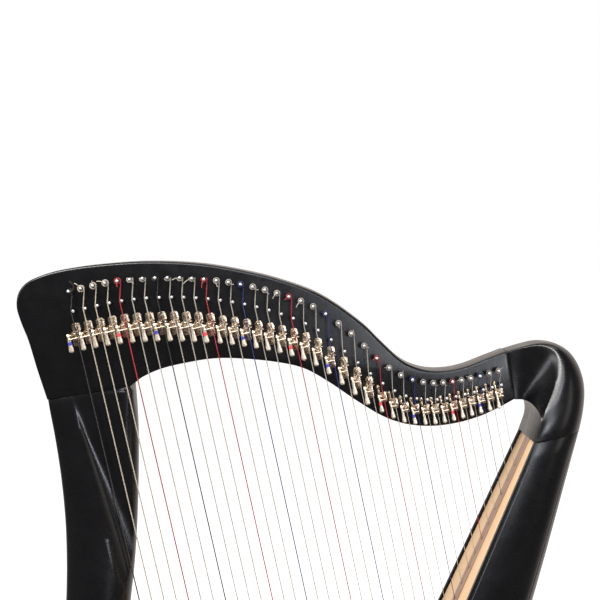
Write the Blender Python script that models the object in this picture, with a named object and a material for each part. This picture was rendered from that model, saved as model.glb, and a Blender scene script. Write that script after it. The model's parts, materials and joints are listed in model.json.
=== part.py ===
"""A floor harp with 38 strings and a sharping lever on each string.

X points from the pillar to the player, Y away from the side with the levers, and Z up. The strings lie in
the plane Y = 0. The origin is on the floor under the middle of the harp. Every size below is in
millimetres. Places in the plane of the strings are (x, z) from a drawing datum at the height of the levers,
and DATUM_X and DATUM_Z give that datum's place from the origin.
"""

from collections import namedtuple
import math

import bmesh
import bpy
from mathutils import Matrix, Vector

MM = 0.001
GAP = 0.3
SHARP_ANGLE = math.radians(35.0)

# Heights below the drawing datum. The feet stand on the floor, which sets the datum's height.
BASE_TOP_Z = -1130.0
BASE_THICKNESS = 42.0
FOOT_HEIGHT = 17.7
DATUM_X = 0.9
DATUM_Z = -BASE_TOP_Z + BASE_THICKNESS + GAP + FOOT_HEIGHT

# Neck: a flat board between two planes, with its edges rounded.
NECK_NEAR_Y = 12.0
NECK_THICKNESS = 45.0
NECK_FAR_Y = NECK_NEAR_Y + NECK_THICKNESS
NECK_EDGE = 3.5
NECK_TOP_EDGE = (
    (-322, -128), (-334, -90), (-345, -52), (-353.5, -30), (-359, -10), (-356.5, 8), (-346, 21),
    (-328, 29.7), (-303, 37), (-260, 43.5), (-195, 48), (-130, 45.5), (-78, 37.5), (-26, 25), (26, 5.5),
    (78, -30), (105, -56), (131, -79), (157, -89.5), (184, -91), (210, -86), (236, -76), (262, -66),
)
NECK_LOWER_EDGE = (
    (272.7, -127.5), (253, -138.5), (229, -149.5), (200, -158), (168, -162), (136, -159.5), (107, -150),
    (73, -130), (36, -105), (5, -88), (-30, -80), (-76, -75.5), (-110, -75.5), (-145, -81), (-176, -88.5),
    (-199, -98.5), (-211, -107.5), (-214, -110),
)

# Strings. Pin centres follow smooth curves through a few pins: string number, x, z.
STRINGS = 38
TUNING_PINS = (
    (1, -289, 11), (5, -228, 24), (9, -165.5, 28), (13, -104.5, 24.5), (17, -43.8, 12.8),
    (21, 16.5, -8), (24, 64.5, -42), (26, 96.5, -73), (28, 127, -94.5), (30, 155, -103.3),
    (32, 180, -104), (35, 214.5, -98.5), (38, 249.5, -89),
)
BRIDGE_PINS = (
    (1, -284, -14), (5, -223, -1), (9, -160.5, 3.6), (13, -99.5, -0.3), (17, -38.5, -12.8),
    (21, 23, -38), (24, 73, -79), (26, 104.5, -105), (28, 133.5, -121), (30, 160.5, -125.5),
    (32, 185, -124), (35, 219.5, -116), (38, 253.5, -107),
)
FIRST_SLOPE = 0.2225
SLOPE_STEP = -0.00065
BASS_STRING_R = 0.80
TREBLE_STRING_R = 0.30
STRING_SIDES = 6
TUNING_PIN_R = 3.2
TUNING_PIN_TIP_R = 2.1
BRIDGE_PIN_R = 1.9
PIN_TIP_Y = -7.0
BRIDGE_TIP_Y = -3.0
PIN_SINK = 2.0
PIN_SIDES = 6
KEY_SQUARE_R = 3.3
KEY_SQUARE_REACH = 17.0
KEY_SQUARE_SIDES = 4

# Soundboard: the face of its string rib leans back, at x = BOARD_X + BOARD_SLOPE * (z - BOARD_Z). Depths are
# counted level from that face into the soundbox.
BOARD_X = 277.4
BOARD_Z = -195.0
BOARD_SLOPE = 0.4316
BOARD_THICKNESS = 4.0
BOX_TOP_Z = -171.5
BOX_BOTTOM_Z = BASE_TOP_Z + GAP
BOX_TOP_TILT = 0.19
BOX_TILT_ENDS_Z = -400.0
BOX_HALF_WIDTH = ((-1140, 152), (-850, 110), (-600, 84), (-380, 66), (-165, 49.5))
BOX_DEPTH = ((-1140, 226), (-850, 178), (-600, 136), (-390, 98.5), (-325, 88.8), (-206, 69), (-171, 63))
BOX_ROUNDNESS = 2.25
SHELL_THICKNESS = 5.0
RIM_WIDTH = 8.0
RIM_PROUD = 2.0
RAIL_DEPTH = 12.0
LEDGE_WIDTH = 9.0
BACK_SEAM_DEG = 58.0
SEAM_DEG = 0.2
BOX_SECTIONS = 10
SIDE_CORNERS = 7
BACK_CORNERS = 6
RIB_WIDTH = 21.0
RIB_HEIGHT = 1.2
INNER_RIB_WIDTH = 24.0
INNER_RIB_THICKNESS = 6.0
RIB_TOP_Z = BOX_TOP_Z - GAP
RIB_BOTTOM_Z = -1006.0
INNER_RIB_TOP_Z = -208.0
STRING_HOLE_R = 2.3
SOUND_HOLES = ((-460, 34, 46), (-622, 40, 54), (-792, 46, 60), (-965, 50, 66))
SOUND_HOLE_SIDES = 14
SOUND_HOLE_REACH = 0.55
HOOP_PLACES = (-530.0, -698.0)
HOOP_DEPTH = 12.0
HOOP_THICKNESS = 14.0
TREBLE_BLOCK_HEIGHT = 24.0
BASS_BLOCK_HEIGHT = 35.0

# Pillar: height, left side, right side; then how its section changes on the way down.
PILLAR_TOP_Z = -128.6
PILLAR_BOTTOM_Z = BASE_TOP_Z + GAP
PILLAR_SIDES = (
    (PILLAR_BOTTOM_Z, -240, -140), (-1050, -250, -168), (-960, -270, -193), (-860, -287.5, -214.5),
    (-740, -301, -229), (-620, -306.5, -233.5), (-500, -305, -229), (-390, -301.3, -218.7),
    (-340, -300.6, -213.5), (-285, -302.4, -210), (-225, -308.4, -208.4), (-175, -316, -209),
    (PILLAR_TOP_Z, -322, -214),
)
PILLAR_NEAR_Y = (
    (PILLAR_BOTTOM_Z, -30), (-480, -24), (-390, -15), (-260, -1), (-180, 7.5), (PILLAR_TOP_Z, NECK_NEAR_Y)
)
PILLAR_FAR_Y = ((PILLAR_BOTTOM_Z, 46), (-600, 46), (-390, 50), (PILLAR_TOP_Z, NECK_FAR_Y))
PILLAR_ROUNDNESS = (
    (PILLAR_BOTTOM_Z, 2.2), (-400, 2.2), (-300, 2.3), (-220, 2.6), (-165, 3.6), (PILLAR_TOP_Z, 9.0)
)
PILLAR_PLACES = (
    PILLAR_TOP_Z, -150, -180, -215, -255, -300, -345, -390, -450, -520, -620, -720, -820, -910, -990,
    -1060, PILLAR_BOTTOM_Z,
)
PILLAR_TILT_ENDS_Z = -320.0
CUT_START_X = -290.8
CUT_START_Z = -127.0
CUT_SLOPE = 0.2736
# The cove beside the cut's ridge: its least width, its width for each millimetre of the cut's depth, and how
# far from the pillar's right side it starts at most.
CUT_COVE_LEAST = 8.0
CUT_COVE_SPREAD = 1.9
CUT_RIDGE_INSET = 3.25

# Shoulder: sections from the neck to the soundbox. Each row is the section's number, its inner point x and z,
# its outer point x and z, then where the crest lies across it, the Y of the inner edge, the crest, the
# outermost line and the far side, and how round it is.
SHOULDER_SECTIONS = (
    (0, 273.1, -127.5, 262.4, -66.0, 0.92, NECK_NEAR_Y, NECK_NEAR_Y, 34.5, NECK_FAR_Y, 9.0),
    (1, 277, -127.3, 284.5, -59.0, 0.92, NECK_NEAR_Y, 9, 34, NECK_FAR_Y, 7.5),
    (2, 281, -127.1, 305, -54.2, 0.90, 10, 2, 32, NECK_FAR_Y, 5.0),
    (3, 285, -127.3, 323.8, -56.0, 0.82, 4, -10, 28, NECK_FAR_Y - 0.5, 3.2),
    (4, 288.5, -128.5, 339, -64.2, 0.57, -8, -24, 22, NECK_FAR_Y - 1, 2.5),
    (5, 291.3, -131.5, 349, -77.0, 0.30, -22, -35, 16, NECK_FAR_Y - 2, 2.3),
    (6, 293.2, -136.0, 354.8, -92.5, 0.12, -35, -42, 10, NECK_FAR_Y - 3, 2.25),
    (7, 293.9, -142.5, 357.2, -109.0, 0.05, -44.5, -46, 6, NECK_FAR_Y - 4, 2.25),
    (8, 293.0, -151.0, 356.5, -126.0, 0.04, -48, -48.5, 3, NECK_FAR_Y - 5, 2.25),
    (9, 289.8, -161.0, 354.0, -143.0, 0.04, -49.5, -49.8, 1, NECK_FAR_Y - 6, 2.25),
)
SHOULDER_CREST_END = 0.04
FLARE_POWER = 1.6

# Base, in plan: x and half-width along its length; and its feet: x, distance from the middle.
BASE_PLAN = (
    (-250, 0), (-242, 36), (-214, 58), (-180, 88), (-152, 136), (-122, 163), (-70, 160), (0, 140), (62, 106),
    (106, 58), (122, 0),
)
BASE_EDGE = 6.0
FEET = (("front", -205.0, 38.0), ("rear", 20.0, 98.0))
FOOT_R = 16.0
FOOT_CHAMFER = 2.0
FOOT_SIDES = 14
BOLT_X = -192.0
BOLT_Y = 8.0
BOLT_R = 5.0
BOLT_HEAD_R = 9.0
BOLT_HEAD_HEIGHT = 7.0
BOLT_CLEARANCE = 0.4
BOLT_REACH = 70.0
BOLT_END_CLEARANCE = 2.0
BOLT_SIDES = 10
STEP_RISE = 0.01

# Levers. Distances are across the string (to the right), along it (down) and out from the neck.
LEVER_DROP = ((1, 31), (8, 34), (15, 33), (19, 27), (22, 23), (26, 17), (29, 13), (33, 11), (38, 10))
PIVOT_OUT = 11.0
HUB_R = 3.2
AXLE_R = 1.35
AXLE_CLEARANCE = 0.45
HUB_BORE_R = AXLE_R + AXLE_CLEARANCE
AXLE_SIDES = 6
RING_SIDES = 8
ROD_ARM = 6.0
ROD_HALF = 0.8
ROD_ANGLE_DEG = 56.0
HANDLE_THICKNESS = 3.0
HANDLE_LEAN = 2.4
PLATE_OUT = 2.4
STRIP_THICKNESS = 0.8
STRIP_HALF_WIDTH = 3.0
STRIP_ALONG = 2.0
EAR_ROOT = 1.0
FRET_OUT = 10.7
FRET_ACROSS = (-1.7, 1.6)
FRET_ALONG = (-4.7, -3.3)
LeverSize = namedtuple("LeverSize", (
    "name", "last_string", "hub", "ear", "rod_end", "handle_middle", "handle_widths", "handle_length",
    "upper_across", "upper_along", "lower_across", "lower_along",
))
LEVER_SIZES = (
    LeverSize("bass", 12, (-12.2, -8.6), (-8.2, -6.8), 1.7, -10.5, (4.0, 5.4), 20.5,
              (-5.0, 3.8), (-15.0, -3.0), (-8.4, 1.8), (-4.0, 14.5)),
    LeverSize("middle", 25, (-10.1, -6.8), (-6.4, -5.1), 1.7, -8.4, (3.8, 5.4), 20.0,
              (-4.6, 3.8), (-13.0, -3.0), (-6.6, 1.8), (-4.0, 14.0)),
    LeverSize("treble", 38, (-7.1, -4.2), (-3.8, -2.6), 1.8, -5.4, (3.2, 4.6), 19.5,
              (-6.7, -2.2), (-14.0, -3.0), (-4.2, 4.6), (-4.0, 9.0)),
)

LACQUER = ("lacquer", (0.012, 0.013, 0.017), 0.22, 0.0)
SPRUCE = ("spruce", (0.76, 0.52, 0.32), 0.45, 0.0)
MAPLE = ("maple", (0.30, 0.17, 0.10), 0.45, 0.0)
BARE_WOOD = ("bare_wood", (0.50, 0.33, 0.19), 0.65, 0.0)
NICKEL = ("nickel", (0.72, 0.66, 0.60), 0.25, 1.0)
STEEL = ("steel", (0.55, 0.56, 0.58), 0.35, 1.0)
NYLON = ("nylon", (0.82, 0.80, 0.76), 0.35, 0.0)
RUBBER = ("rubber", (0.02, 0.02, 0.02), 0.85, 0.0)


def clear_scene():
    for old in list(bpy.data.objects):
        bpy.data.objects.remove(old, do_unlink=True)


def material_of(look):
    name, colour, roughness, metallic = look
    found = bpy.data.materials.get(name)
    if found:
        return found
    made = bpy.data.materials.new(name)
    made.use_nodes = True
    shader = made.node_tree.nodes["Principled BSDF"]
    shader.inputs["Base Color"].default_value = (*colour, 1.0)
    shader.inputs["Roughness"].default_value = roughness
    shader.inputs["Metallic"].default_value = metallic
    return made


# Curves

def smooth_values(rows, at):
    """The values at `at` of a smooth curve through rows of (at, value, ...), in rising order of at."""
    last = len(rows) - 1
    i = next((k for k in range(last - 1) if at < rows[k + 1][0]), last - 1)
    span = rows[i + 1][0] - rows[i][0]
    u = (at - rows[i][0]) / span

    def slope(k, column):
        before = rows[max(k - 1, 0)]
        after = rows[min(k + 1, last)]
        return span * (after[column] - before[column]) / (after[0] - before[0])

    found = []
    for column in range(1, len(rows[0])):
        start = rows[i][column] * (2 * u**3 - 3 * u**2 + 1)
        end = rows[i + 1][column] * (3 * u**2 - 2 * u**3)
        leaving = slope(i, column) * (u**3 - 2 * u**2 + u)
        arriving = slope(i + 1, column) * (u**3 - u**2)
        found.append(start + end + leaving + arriving)
    return found


def smooth_value(rows, at):
    return smooth_values(rows, at)[0]


def smooth_line(points, per_span):
    """Points along a smooth line through the points, with per_span steps from each one to the next."""
    rows = [(0.0, *points[0])]
    for before, after in zip(points, points[1:]):
        rows.append((rows[-1][0] + math.dist(before, after), *after))
    line = []
    for first, second in zip(rows, rows[1:]):
        for step in range(per_span):
            line.append(smooth_values(rows, first[0] + (second[0] - first[0]) * step / per_span))
    line.append(list(points[-1]))
    return line


def spread(first, last, count):
    return [first + (last - first) * i / (count - 1) for i in range(count)]


# Meshes

def to_world(x, y, z):
    return Vector(((x + DATUM_X) * MM, y * MM, (z + DATUM_Z) * MM))


def loft_into(mesh, rings):
    """Adds one closed solid through the rings, which hold the same number of points."""
    made = [[mesh.verts.new(point) for point in ring] for ring in rings]
    faces = []
    for ring, following in zip(made, made[1:]):
        for i in range(len(ring)):
            j = (i + 1) % len(ring)
            faces.append(mesh.faces.new((ring[i], ring[j], following[j], following[i])))
    faces.append(mesh.faces.new(list(reversed(made[0]))))
    faces.append(mesh.faces.new(made[-1]))
    bmesh.ops.recalc_face_normals(mesh, faces=faces)
    return faces


def turned_into(mesh, x, z, steps, sides, turn=0.0):
    """Adds a pin along Y at (x, z), through steps of (y, radius)."""
    angles = [turn + 2 * math.pi * i / sides for i in range(sides)]
    rings = []
    for y, radius in steps:
        rings.append([to_world(x + radius * math.cos(a), y, z + radius * math.sin(a)) for a in angles])
    loft_into(mesh, rings)


def new_object(name, mesh, look, smooth=True):
    data = bpy.data.meshes.new(name)
    mesh.to_mesh(data)
    mesh.free()
    if smooth:
        data.shade_smooth()
        data.set_sharp_from_angle(angle=SHARP_ANGLE)
    made = bpy.data.objects.new(name, data)
    made.data.materials.append(material_of(look))
    bpy.context.scene.collection.objects.link(made)
    return made


def lofted(name, rings, look):
    mesh = bmesh.new()
    loft_into(mesh, rings)
    return new_object(name, mesh, look)


def combine(target, helper, operation, crossing=False):
    """Joins the helper to the target, or cuts it out."""
    helper.hide_render = True
    helper.display_type = "WIRE"
    boolean = target.modifiers.new(helper.name, "BOOLEAN")
    boolean.operation = operation
    boolean.solver = "EXACT"
    boolean.use_self = crossing
    boolean.object = helper


# Strings

def string_radius(number):
    share = (number - 1) / (STRINGS - 1)
    return BASS_STRING_R + (TREBLE_STRING_R - BASS_STRING_R) * share


def string_slope(number):
    return FIRST_SLOPE + SLOPE_STEP * (number - 1)


def down_string(number):
    """The direction down the string, as (x, z)."""
    slope = string_slope(number)
    length = math.hypot(slope, 1.0)
    return slope / length, -1.0 / length


def bridge_bend(number):
    """Where the string's centre passes its bridge pin, on the pin's left side."""
    x, z = smooth_values(BRIDGE_PINS, number)
    return x - BRIDGE_PIN_R - string_radius(number) - GAP, z


def board_front_x(z):
    return BOARD_X + BOARD_SLOPE * (z - BOARD_Z)


def board_back():
    """The direction from the soundboard's front into the soundbox, square to the board, as (x, z)."""
    length = math.hypot(BOARD_SLOPE, 1.0)
    return 1.0 / length, -BOARD_SLOPE / length


def string_foot(number):
    """Where the string meets the front of the soundboard."""
    x, z = bridge_bend(number)
    slope = string_slope(number)
    foot_z = (x + slope * z - BOARD_X + BOARD_SLOPE * BOARD_Z) / (BOARD_SLOPE + slope)
    return board_front_x(foot_z), foot_z


def string_route(number):
    """The string's centre line, from inside the inner rib, out of its hole and past both of its pins."""
    foot = string_foot(number)
    back = board_back()
    pin_x, pin_z = smooth_values(TUNING_PINS, number)
    anchor_depth = RIB_HEIGHT + BOARD_THICKNESS + 3 * GAP + INNER_RIB_THICKNESS / 2
    mouth = -3 * string_radius(number)
    anchor = (foot[0] + back[0] * anchor_depth, foot[1] + back[1] * anchor_depth)
    out = (foot[0] + back[0] * mouth, foot[1] + back[1] * mouth)
    pin_side = (pin_x + TUNING_PIN_R + string_radius(number) + GAP, pin_z)
    return anchor, out, bridge_bend(number), pin_side


def tube_into(mesh, route, radius, sides=STRING_SIDES):
    """Adds a tube through points (x, z) of the string plane, mitred at each bend."""
    rings = []
    for i, (x, z) in enumerate(route):
        before = Vector(route[max(i - 1, 0)])
        after = Vector(route[min(i + 1, len(route) - 1)])
        arriving = (Vector((x, z)) - before).normalized() if i else (after - Vector((x, z))).normalized()
        leaving = (after - Vector((x, z))).normalized() if i < len(route) - 1 else arriving
        along = (arriving + leaving).normalized()
        widened = radius / max(along.dot(leaving), 0.3)
        ring = []
        for step in range(sides):
            angle = 2 * math.pi * step / sides
            across = widened * math.cos(angle)
            ring.append(to_world(x - along.y * across, radius * math.sin(angle), z + along.x * across))
        rings.append(ring)
    loft_into(mesh, rings)


# Neck, pillar and shoulder

def make_neck():
    outline = smooth_line(NECK_TOP_EDGE, 2)
    seam_points = len(outline)
    outline += smooth_line(NECK_LOWER_EDGE, 2)
    mesh = bmesh.new()
    rings = [[to_world(x, y, z) for x, z in outline] for y in (NECK_NEAR_Y, NECK_FAR_Y)]
    loft_into(mesh, rings)
    mesh.verts.ensure_lookup_table()
    joints = {seam_points - 1, len(outline) - 1}
    rounded = []
    for first in (0, len(outline)):
        for i in range(len(outline)):
            if i in joints:
                continue
            ends = mesh.verts[first + i], mesh.verts[first + (i + 1) % len(outline)]
            rounded.append(mesh.edges.get(ends))
    bmesh.ops.bevel(mesh, geom=rounded, offset=NECK_EDGE * MM, segments=1, affect="EDGES")
    neck = new_object("neck", mesh, LACQUER)

    pins = bmesh.new()
    start_y = NECK_NEAR_Y + PIN_SINK
    drum_y = BRIDGE_TIP_Y
    for number in range(1, STRINGS + 1):
        x, z = smooth_values(TUNING_PINS, number)
        near = ((start_y, TUNING_PIN_R), (drum_y, TUNING_PIN_R))
        tip = ((drum_y - GAP, TUNING_PIN_TIP_R), (PIN_TIP_Y, TUNING_PIN_TIP_R))
        turned_into(pins, x, z, near + tip, PIN_SIDES)
        square = ((NECK_FAR_Y - PIN_SINK, KEY_SQUARE_R), (NECK_FAR_Y + KEY_SQUARE_REACH, KEY_SQUARE_R))
        turned_into(pins, x, z, square, KEY_SQUARE_SIDES, math.pi / KEY_SQUARE_SIDES)
        x, z = smooth_values(BRIDGE_PINS, number)
        turned_into(pins, x, z, ((start_y, BRIDGE_PIN_R), (BRIDGE_TIP_Y, BRIDGE_PIN_R)), PIN_SIDES)
    combine(neck, new_object("neck_pins", pins, NICKEL), "UNION")


def cut_ridge_x(z):
    """Where the cut that clears the bass strings starts on the pillar at this height."""
    return CUT_START_X + (CUT_START_Z - z) * CUT_SLOPE


def pillar_ring(z, near_steps=10, far_steps=8):
    left, right = smooth_values(PILLAR_SIDES, z)
    near_y = smooth_value(PILLAR_NEAR_Y, z)
    far_y = smooth_value(PILLAR_FAR_Y, z)
    power = smooth_value(PILLAR_ROUNDNESS, z)
    seam_left, seam_right = NECK_TOP_EDGE[0], NECK_LOWER_EDGE[-1]
    seam_tilt = (seam_right[1] - seam_left[1]) / (seam_right[0] - seam_left[0])
    tilt = seam_tilt * max(0.0, (z - PILLAR_TILT_ENDS_Z) / (PILLAR_TOP_Z - PILLAR_TILT_ENDS_Z))
    middle = (left + right) / 2
    half = (right - left) / 2
    centre_y = (near_y + far_y) / 2
    half_y = (far_y - near_y) / 2
    ridge = min(cut_ridge_x(z), right - CUT_RIDGE_INSET)

    def round_y(x):
        share = min(abs(x - middle) / half, 1.0)
        return centre_y - half_y * (1.0 - share**power) ** (1.0 / power)

    depth = max(NECK_NEAR_Y - round_y(ridge), 0.0)
    cove = max(CUT_COVE_LEAST, CUT_COVE_SPREAD * depth)
    ring = []
    left_steps = near_steps // 2
    for i in range(left_steps + 1):
        x = left + (ridge - left) * (1.0 - math.cos(math.pi / 2 * i / left_steps))
        ring.append((x, round_y(x)))
    for i in range(1, near_steps - left_steps + 1):
        x = ridge + (right - ridge) * math.sin(math.pi / 2 * i / (near_steps - left_steps))
        cut_y = NECK_NEAR_Y - depth * max(0.0, 1.0 - (x - ridge) / cove) ** 2
        ring.append((x, max(round_y(x), cut_y)))
    for i in range(1, far_steps):
        angle = math.pi * i / far_steps
        across = math.copysign(abs(math.cos(angle)) ** (2.0 / power), math.cos(angle))
        ring.append((middle + half * across, centre_y + half_y * math.sin(angle) ** (2.0 / power)))
    return [to_world(x, y, z + tilt * (x - left)) for x, y in ring]


def make_pillar():
    return lofted("pillar", [pillar_ring(z) for z in PILLAR_PLACES], LACQUER)


def rounded_quarter(degrees, power):
    """A rounded quarter from (0, 1) to (1, 0)."""
    angle = math.radians(degrees)
    return max(math.sin(angle), 0.0) ** (2.0 / power), max(math.cos(angle), 0.0) ** (2.0 / power)


def shoulder_ring(row, flare_steps=2, round_steps=4):
    _, inner_x, inner_z, outer_x, outer_z, crest, inner_y, crest_y, outer_y, far_y, power = row
    profile = []
    for i in range(flare_steps):
        share = i / flare_steps
        profile.append((crest * share, inner_y + (crest_y - inner_y) * share**FLARE_POWER))
    for i in range(round_steps + 1):
        rise, fall = rounded_quarter(90.0 * i / round_steps, power)
        profile.append((crest + (1.0 - crest) * rise, outer_y + (crest_y - outer_y) * fall))
    for i in range(round_steps - 1, -1, -1):
        rise, fall = rounded_quarter(90.0 * i / round_steps, power)
        profile.append((rise, outer_y + (far_y - outer_y) * fall))
    wide_x = outer_x - inner_x
    wide_z = outer_z - inner_z
    return [to_world(inner_x + wide_x * across, y, inner_z + wide_z * across) for across, y in profile]


def shoulder_end_row():
    """The section that meets the soundbox, from the soundbox's own sizes."""
    z = BOX_TOP_Z + GAP
    width, depth, tilt = box_sizes(z)
    face_x = board_front_x(z)
    inner = (face_x - RIM_PROUD, z - tilt * RIM_PROUD)
    outer = (face_x + depth, z + tilt * depth)
    number = len(SHOULDER_SECTIONS)
    return (number, *inner, *outer, SHOULDER_CREST_END, -width, -width, 0.0, width, BOX_ROUNDNESS)


def make_shoulder():
    rows = list(SHOULDER_SECTIONS) + [shoulder_end_row()]
    return lofted("shoulder", [shoulder_ring(row) for row in rows], LACQUER)


# Soundbox

def box_heights():
    return spread(BOX_TOP_Z, BOX_BOTTOM_Z, BOX_SECTIONS)


def box_sizes(z):
    """Half-width, depth and tilt at this height, in straight lines between the soundbox's cross-sections."""
    heights = box_heights()
    i = next((k for k in range(BOX_SECTIONS - 2) if z > heights[k + 1]), BOX_SECTIONS - 2)
    share = (z - heights[i]) / (heights[i + 1] - heights[i])
    sizes = []
    for height in heights[i:i + 2]:
        tilt = BOX_TOP_TILT * max(0.0, (height - BOX_TILT_ENDS_Z) / (BOX_TOP_Z - BOX_TILT_ENDS_Z))
        sizes.append((smooth_value(BOX_HALF_WIDTH, height), smooth_value(BOX_DEPTH, height), tilt))
    return [upper + (lower - upper) * share for upper, lower in zip(*sizes)]


def box_point(z, depth, y):
    return to_world(board_front_x(z) + depth, y, z + box_sizes(z)[2] * depth)


def box_curve(z, inset, degrees):
    """(depth, y) of the soundbox's rounded side, from 0 degrees at the left edge to 180 at the right."""
    width, depth, _ = box_sizes(z)
    rise, fall = rounded_quarter(min(degrees, 180.0 - degrees), BOX_ROUNDNESS)
    side = (inset - width) * fall
    return (depth - inset + RIM_PROUD) * rise - RIM_PROUD, side if degrees <= 90.0 else -side


def shell_inner_side(z, depth):
    """The distance of the shell's inner face from the middle at this depth, near its front edge."""
    line = [box_curve(z, SHELL_THICKNESS, angle) for angle in spread(0.0, BACK_SEAM_DEG, SIDE_CORNERS)]
    for (first, first_y), (second, second_y) in zip(line, line[1:]):
        if depth <= second:
            return -(first_y + (second_y - first_y) * (depth - first) / (second - first))
    return -line[-1][1]


def angle_behind_rails(z, inset):
    """The angle at which the soundbox's inset curve passes behind the edge rails."""
    share = (RAIL_DEPTH + GAP + RIM_PROUD) / (box_sizes(z)[1] - inset + RIM_PROUD)
    return math.degrees(math.asin(share ** (BOX_ROUNDNESS / 2.0)))


def shell_angles():
    """The angles at the corners of the soundbox's sides and back, for pieces that fit inside them."""
    side = spread(0.0, BACK_SEAM_DEG, SIDE_CORNERS)
    back = spread(BACK_SEAM_DEG, 180.0 - BACK_SEAM_DEG, BACK_CORNERS)
    return side + back[1:-1] + [180.0 - angle for angle in reversed(side)]


def box_strip_ring(z, angles, outer_inset, inner_inset):
    outer = [box_curve(z, outer_inset, angle) for angle in angles]
    inner = [box_curve(z, inner_inset, angle) for angle in reversed(angles)]
    return [box_point(z, depth, y) for depth, y in outer + inner]


def make_soundbox():
    for name, first, last, steps in (
        ("soundbox_side_left", 0.0, BACK_SEAM_DEG - SEAM_DEG, SIDE_CORNERS),
        ("soundbox_side_right", 180.0, 180.0 - BACK_SEAM_DEG + SEAM_DEG, SIDE_CORNERS),
        ("soundbox_back", BACK_SEAM_DEG + SEAM_DEG, 180.0 - BACK_SEAM_DEG - SEAM_DEG, BACK_CORNERS),
    ):
        angles = spread(first, last, steps)
        rings = [box_strip_ring(z, angles, 0.0, SHELL_THICKNESS) for z in box_heights()]
        piece = lofted(name, rings, LACQUER)
        if name == "soundbox_back":
            cut_sound_holes(piece)
    for index, z in enumerate(HOOP_PLACES, 1):
        inset = SHELL_THICKNESS + 2 * GAP
        rings = []
        for height in (z, z - HOOP_THICKNESS):
            rings.append(box_strip_ring(height, shell_angles()[1:-1], inset, inset + HOOP_DEPTH))
        lofted(f"soundbox_hoop_{index}", rings, BARE_WOOD)
    make_end_block("treble_end_block", BOX_TOP_Z, BOX_TOP_Z - TREBLE_BLOCK_HEIGHT)
    make_end_block("bass_end_block", BOX_BOTTOM_Z + BASS_BLOCK_HEIGHT, BOX_BOTTOM_Z)


def cut_sound_holes(back):
    holes = bmesh.new()
    for z, half_width, half_height in SOUND_HOLES:
        depth = box_sizes(z)[1]
        rings = []
        for reach in (SOUND_HOLE_REACH * depth, depth + 2 * SHELL_THICKNESS):
            ring = []
            for i in range(SOUND_HOLE_SIDES):
                angle = 2 * math.pi * i / SOUND_HOLE_SIDES
                height = z + half_height * math.sin(angle)
                ring.append(to_world(board_front_x(z) + reach, half_width * math.cos(angle), height))
            rings.append(ring)
        loft_into(holes, rings)
    combine(back, new_object("sound_hole_cutter", holes, LACQUER), "DIFFERENCE")


def make_end_block(name, top, bottom):
    inset = SHELL_THICKNESS + 2 * GAP
    start = max(angle_behind_rails(z, inset) for z in (top, bottom))
    inside = [angle for angle in shell_angles() if start + 1.0 < angle < 179.0 - start]
    rings = []
    for z in (top, bottom):
        curve = [box_curve(z, inset, angle) for angle in [start] + inside + [180.0 - start]]
        rings.append([box_point(z, depth, y) for depth, y in curve])
    lofted(name, rings, BARE_WOOD)


def string_holes(name):
    """Square-cut clearance holes for all the strings, square to the soundboard."""
    mesh = bmesh.new()
    back = board_back()
    along = Vector((-back[1], back[0]))
    reach = BOARD_THICKNESS + RIB_HEIGHT + 2 * GAP
    for number in range(1, STRINGS + 1):
        x, z = string_foot(number)
        rings = []
        for depth in (-reach, reach):
            ring = []
            for step in range(4):
                angle = math.pi / 2 * step + math.pi / 4
                up = STRING_HOLE_R * math.cos(angle)
                centre_x = x + back[0] * depth
                centre_z = z + back[1] * depth
                side = STRING_HOLE_R * math.sin(angle)
                ring.append(to_world(centre_x + along.x * up, side, centre_z + along.y * up))
            rings.append(ring)
        loft_into(mesh, rings)
    return new_object(name, mesh, SPRUCE)


def flat_bar(z, front, back, left, right):
    corners = ((front, left), (front, right), (back, right), (back, left))
    return [box_point(z, depth, y) for depth, y in corners]


def level_depth(thickness):
    """The level distance that crosses this thickness of the leaning soundboard."""
    return thickness * math.hypot(BOARD_SLOPE, 1.0)


def make_board():
    front = level_depth(RIB_HEIGHT + GAP)
    back = front + level_depth(BOARD_THICKNESS)
    ledge = back + level_depth(GAP)
    rings = []
    for z in box_heights():
        side = box_sizes(z)[0] - RIM_WIDTH - GAP
        rings.append(flat_bar(z, front, back, -side, side))
    board = lofted("soundboard", rings, SPRUCE)
    combine(board, string_holes("board_hole_cutter"), "DIFFERENCE")

    for name, side in (("edge_rail_left", -1), ("edge_rail_right", 1)):
        rings = []
        for z in box_heights():
            cap = box_sizes(z)[0] - RIM_WIDTH
            inner = cap - LEDGE_WIDTH
            front_side = shell_inner_side(z, -RIM_PROUD) - GAP
            back_side = shell_inner_side(z, RAIL_DEPTH) - GAP
            corners = (
                (-RIM_PROUD, front_side), (-RIM_PROUD, cap), (ledge, cap), (ledge, inner),
                (RAIL_DEPTH, inner), (RAIL_DEPTH, back_side),
            )
            rings.append([box_point(z, depth, side * y) for depth, y in corners])
        lofted(name, rings, LACQUER)

    half = RIB_WIDTH / 2
    edge = RIB_HEIGHT / 2
    foot = level_depth(RIB_HEIGHT)
    rib_rings = []
    for z in (RIB_TOP_Z, RIB_BOTTOM_Z):
        corners = (
            (foot, -half), (foot, half), (foot / 2, half), (0.0, half - edge), (0.0, edge - half),
            (foot / 2, -half),
        )
        rib_rings.append([box_point(z, depth, y) for depth, y in corners])
    outer_rib = lofted("outer_string_rib", rib_rings, MAPLE)
    combine(outer_rib, string_holes("rib_hole_cutter"), "DIFFERENCE")


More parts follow.
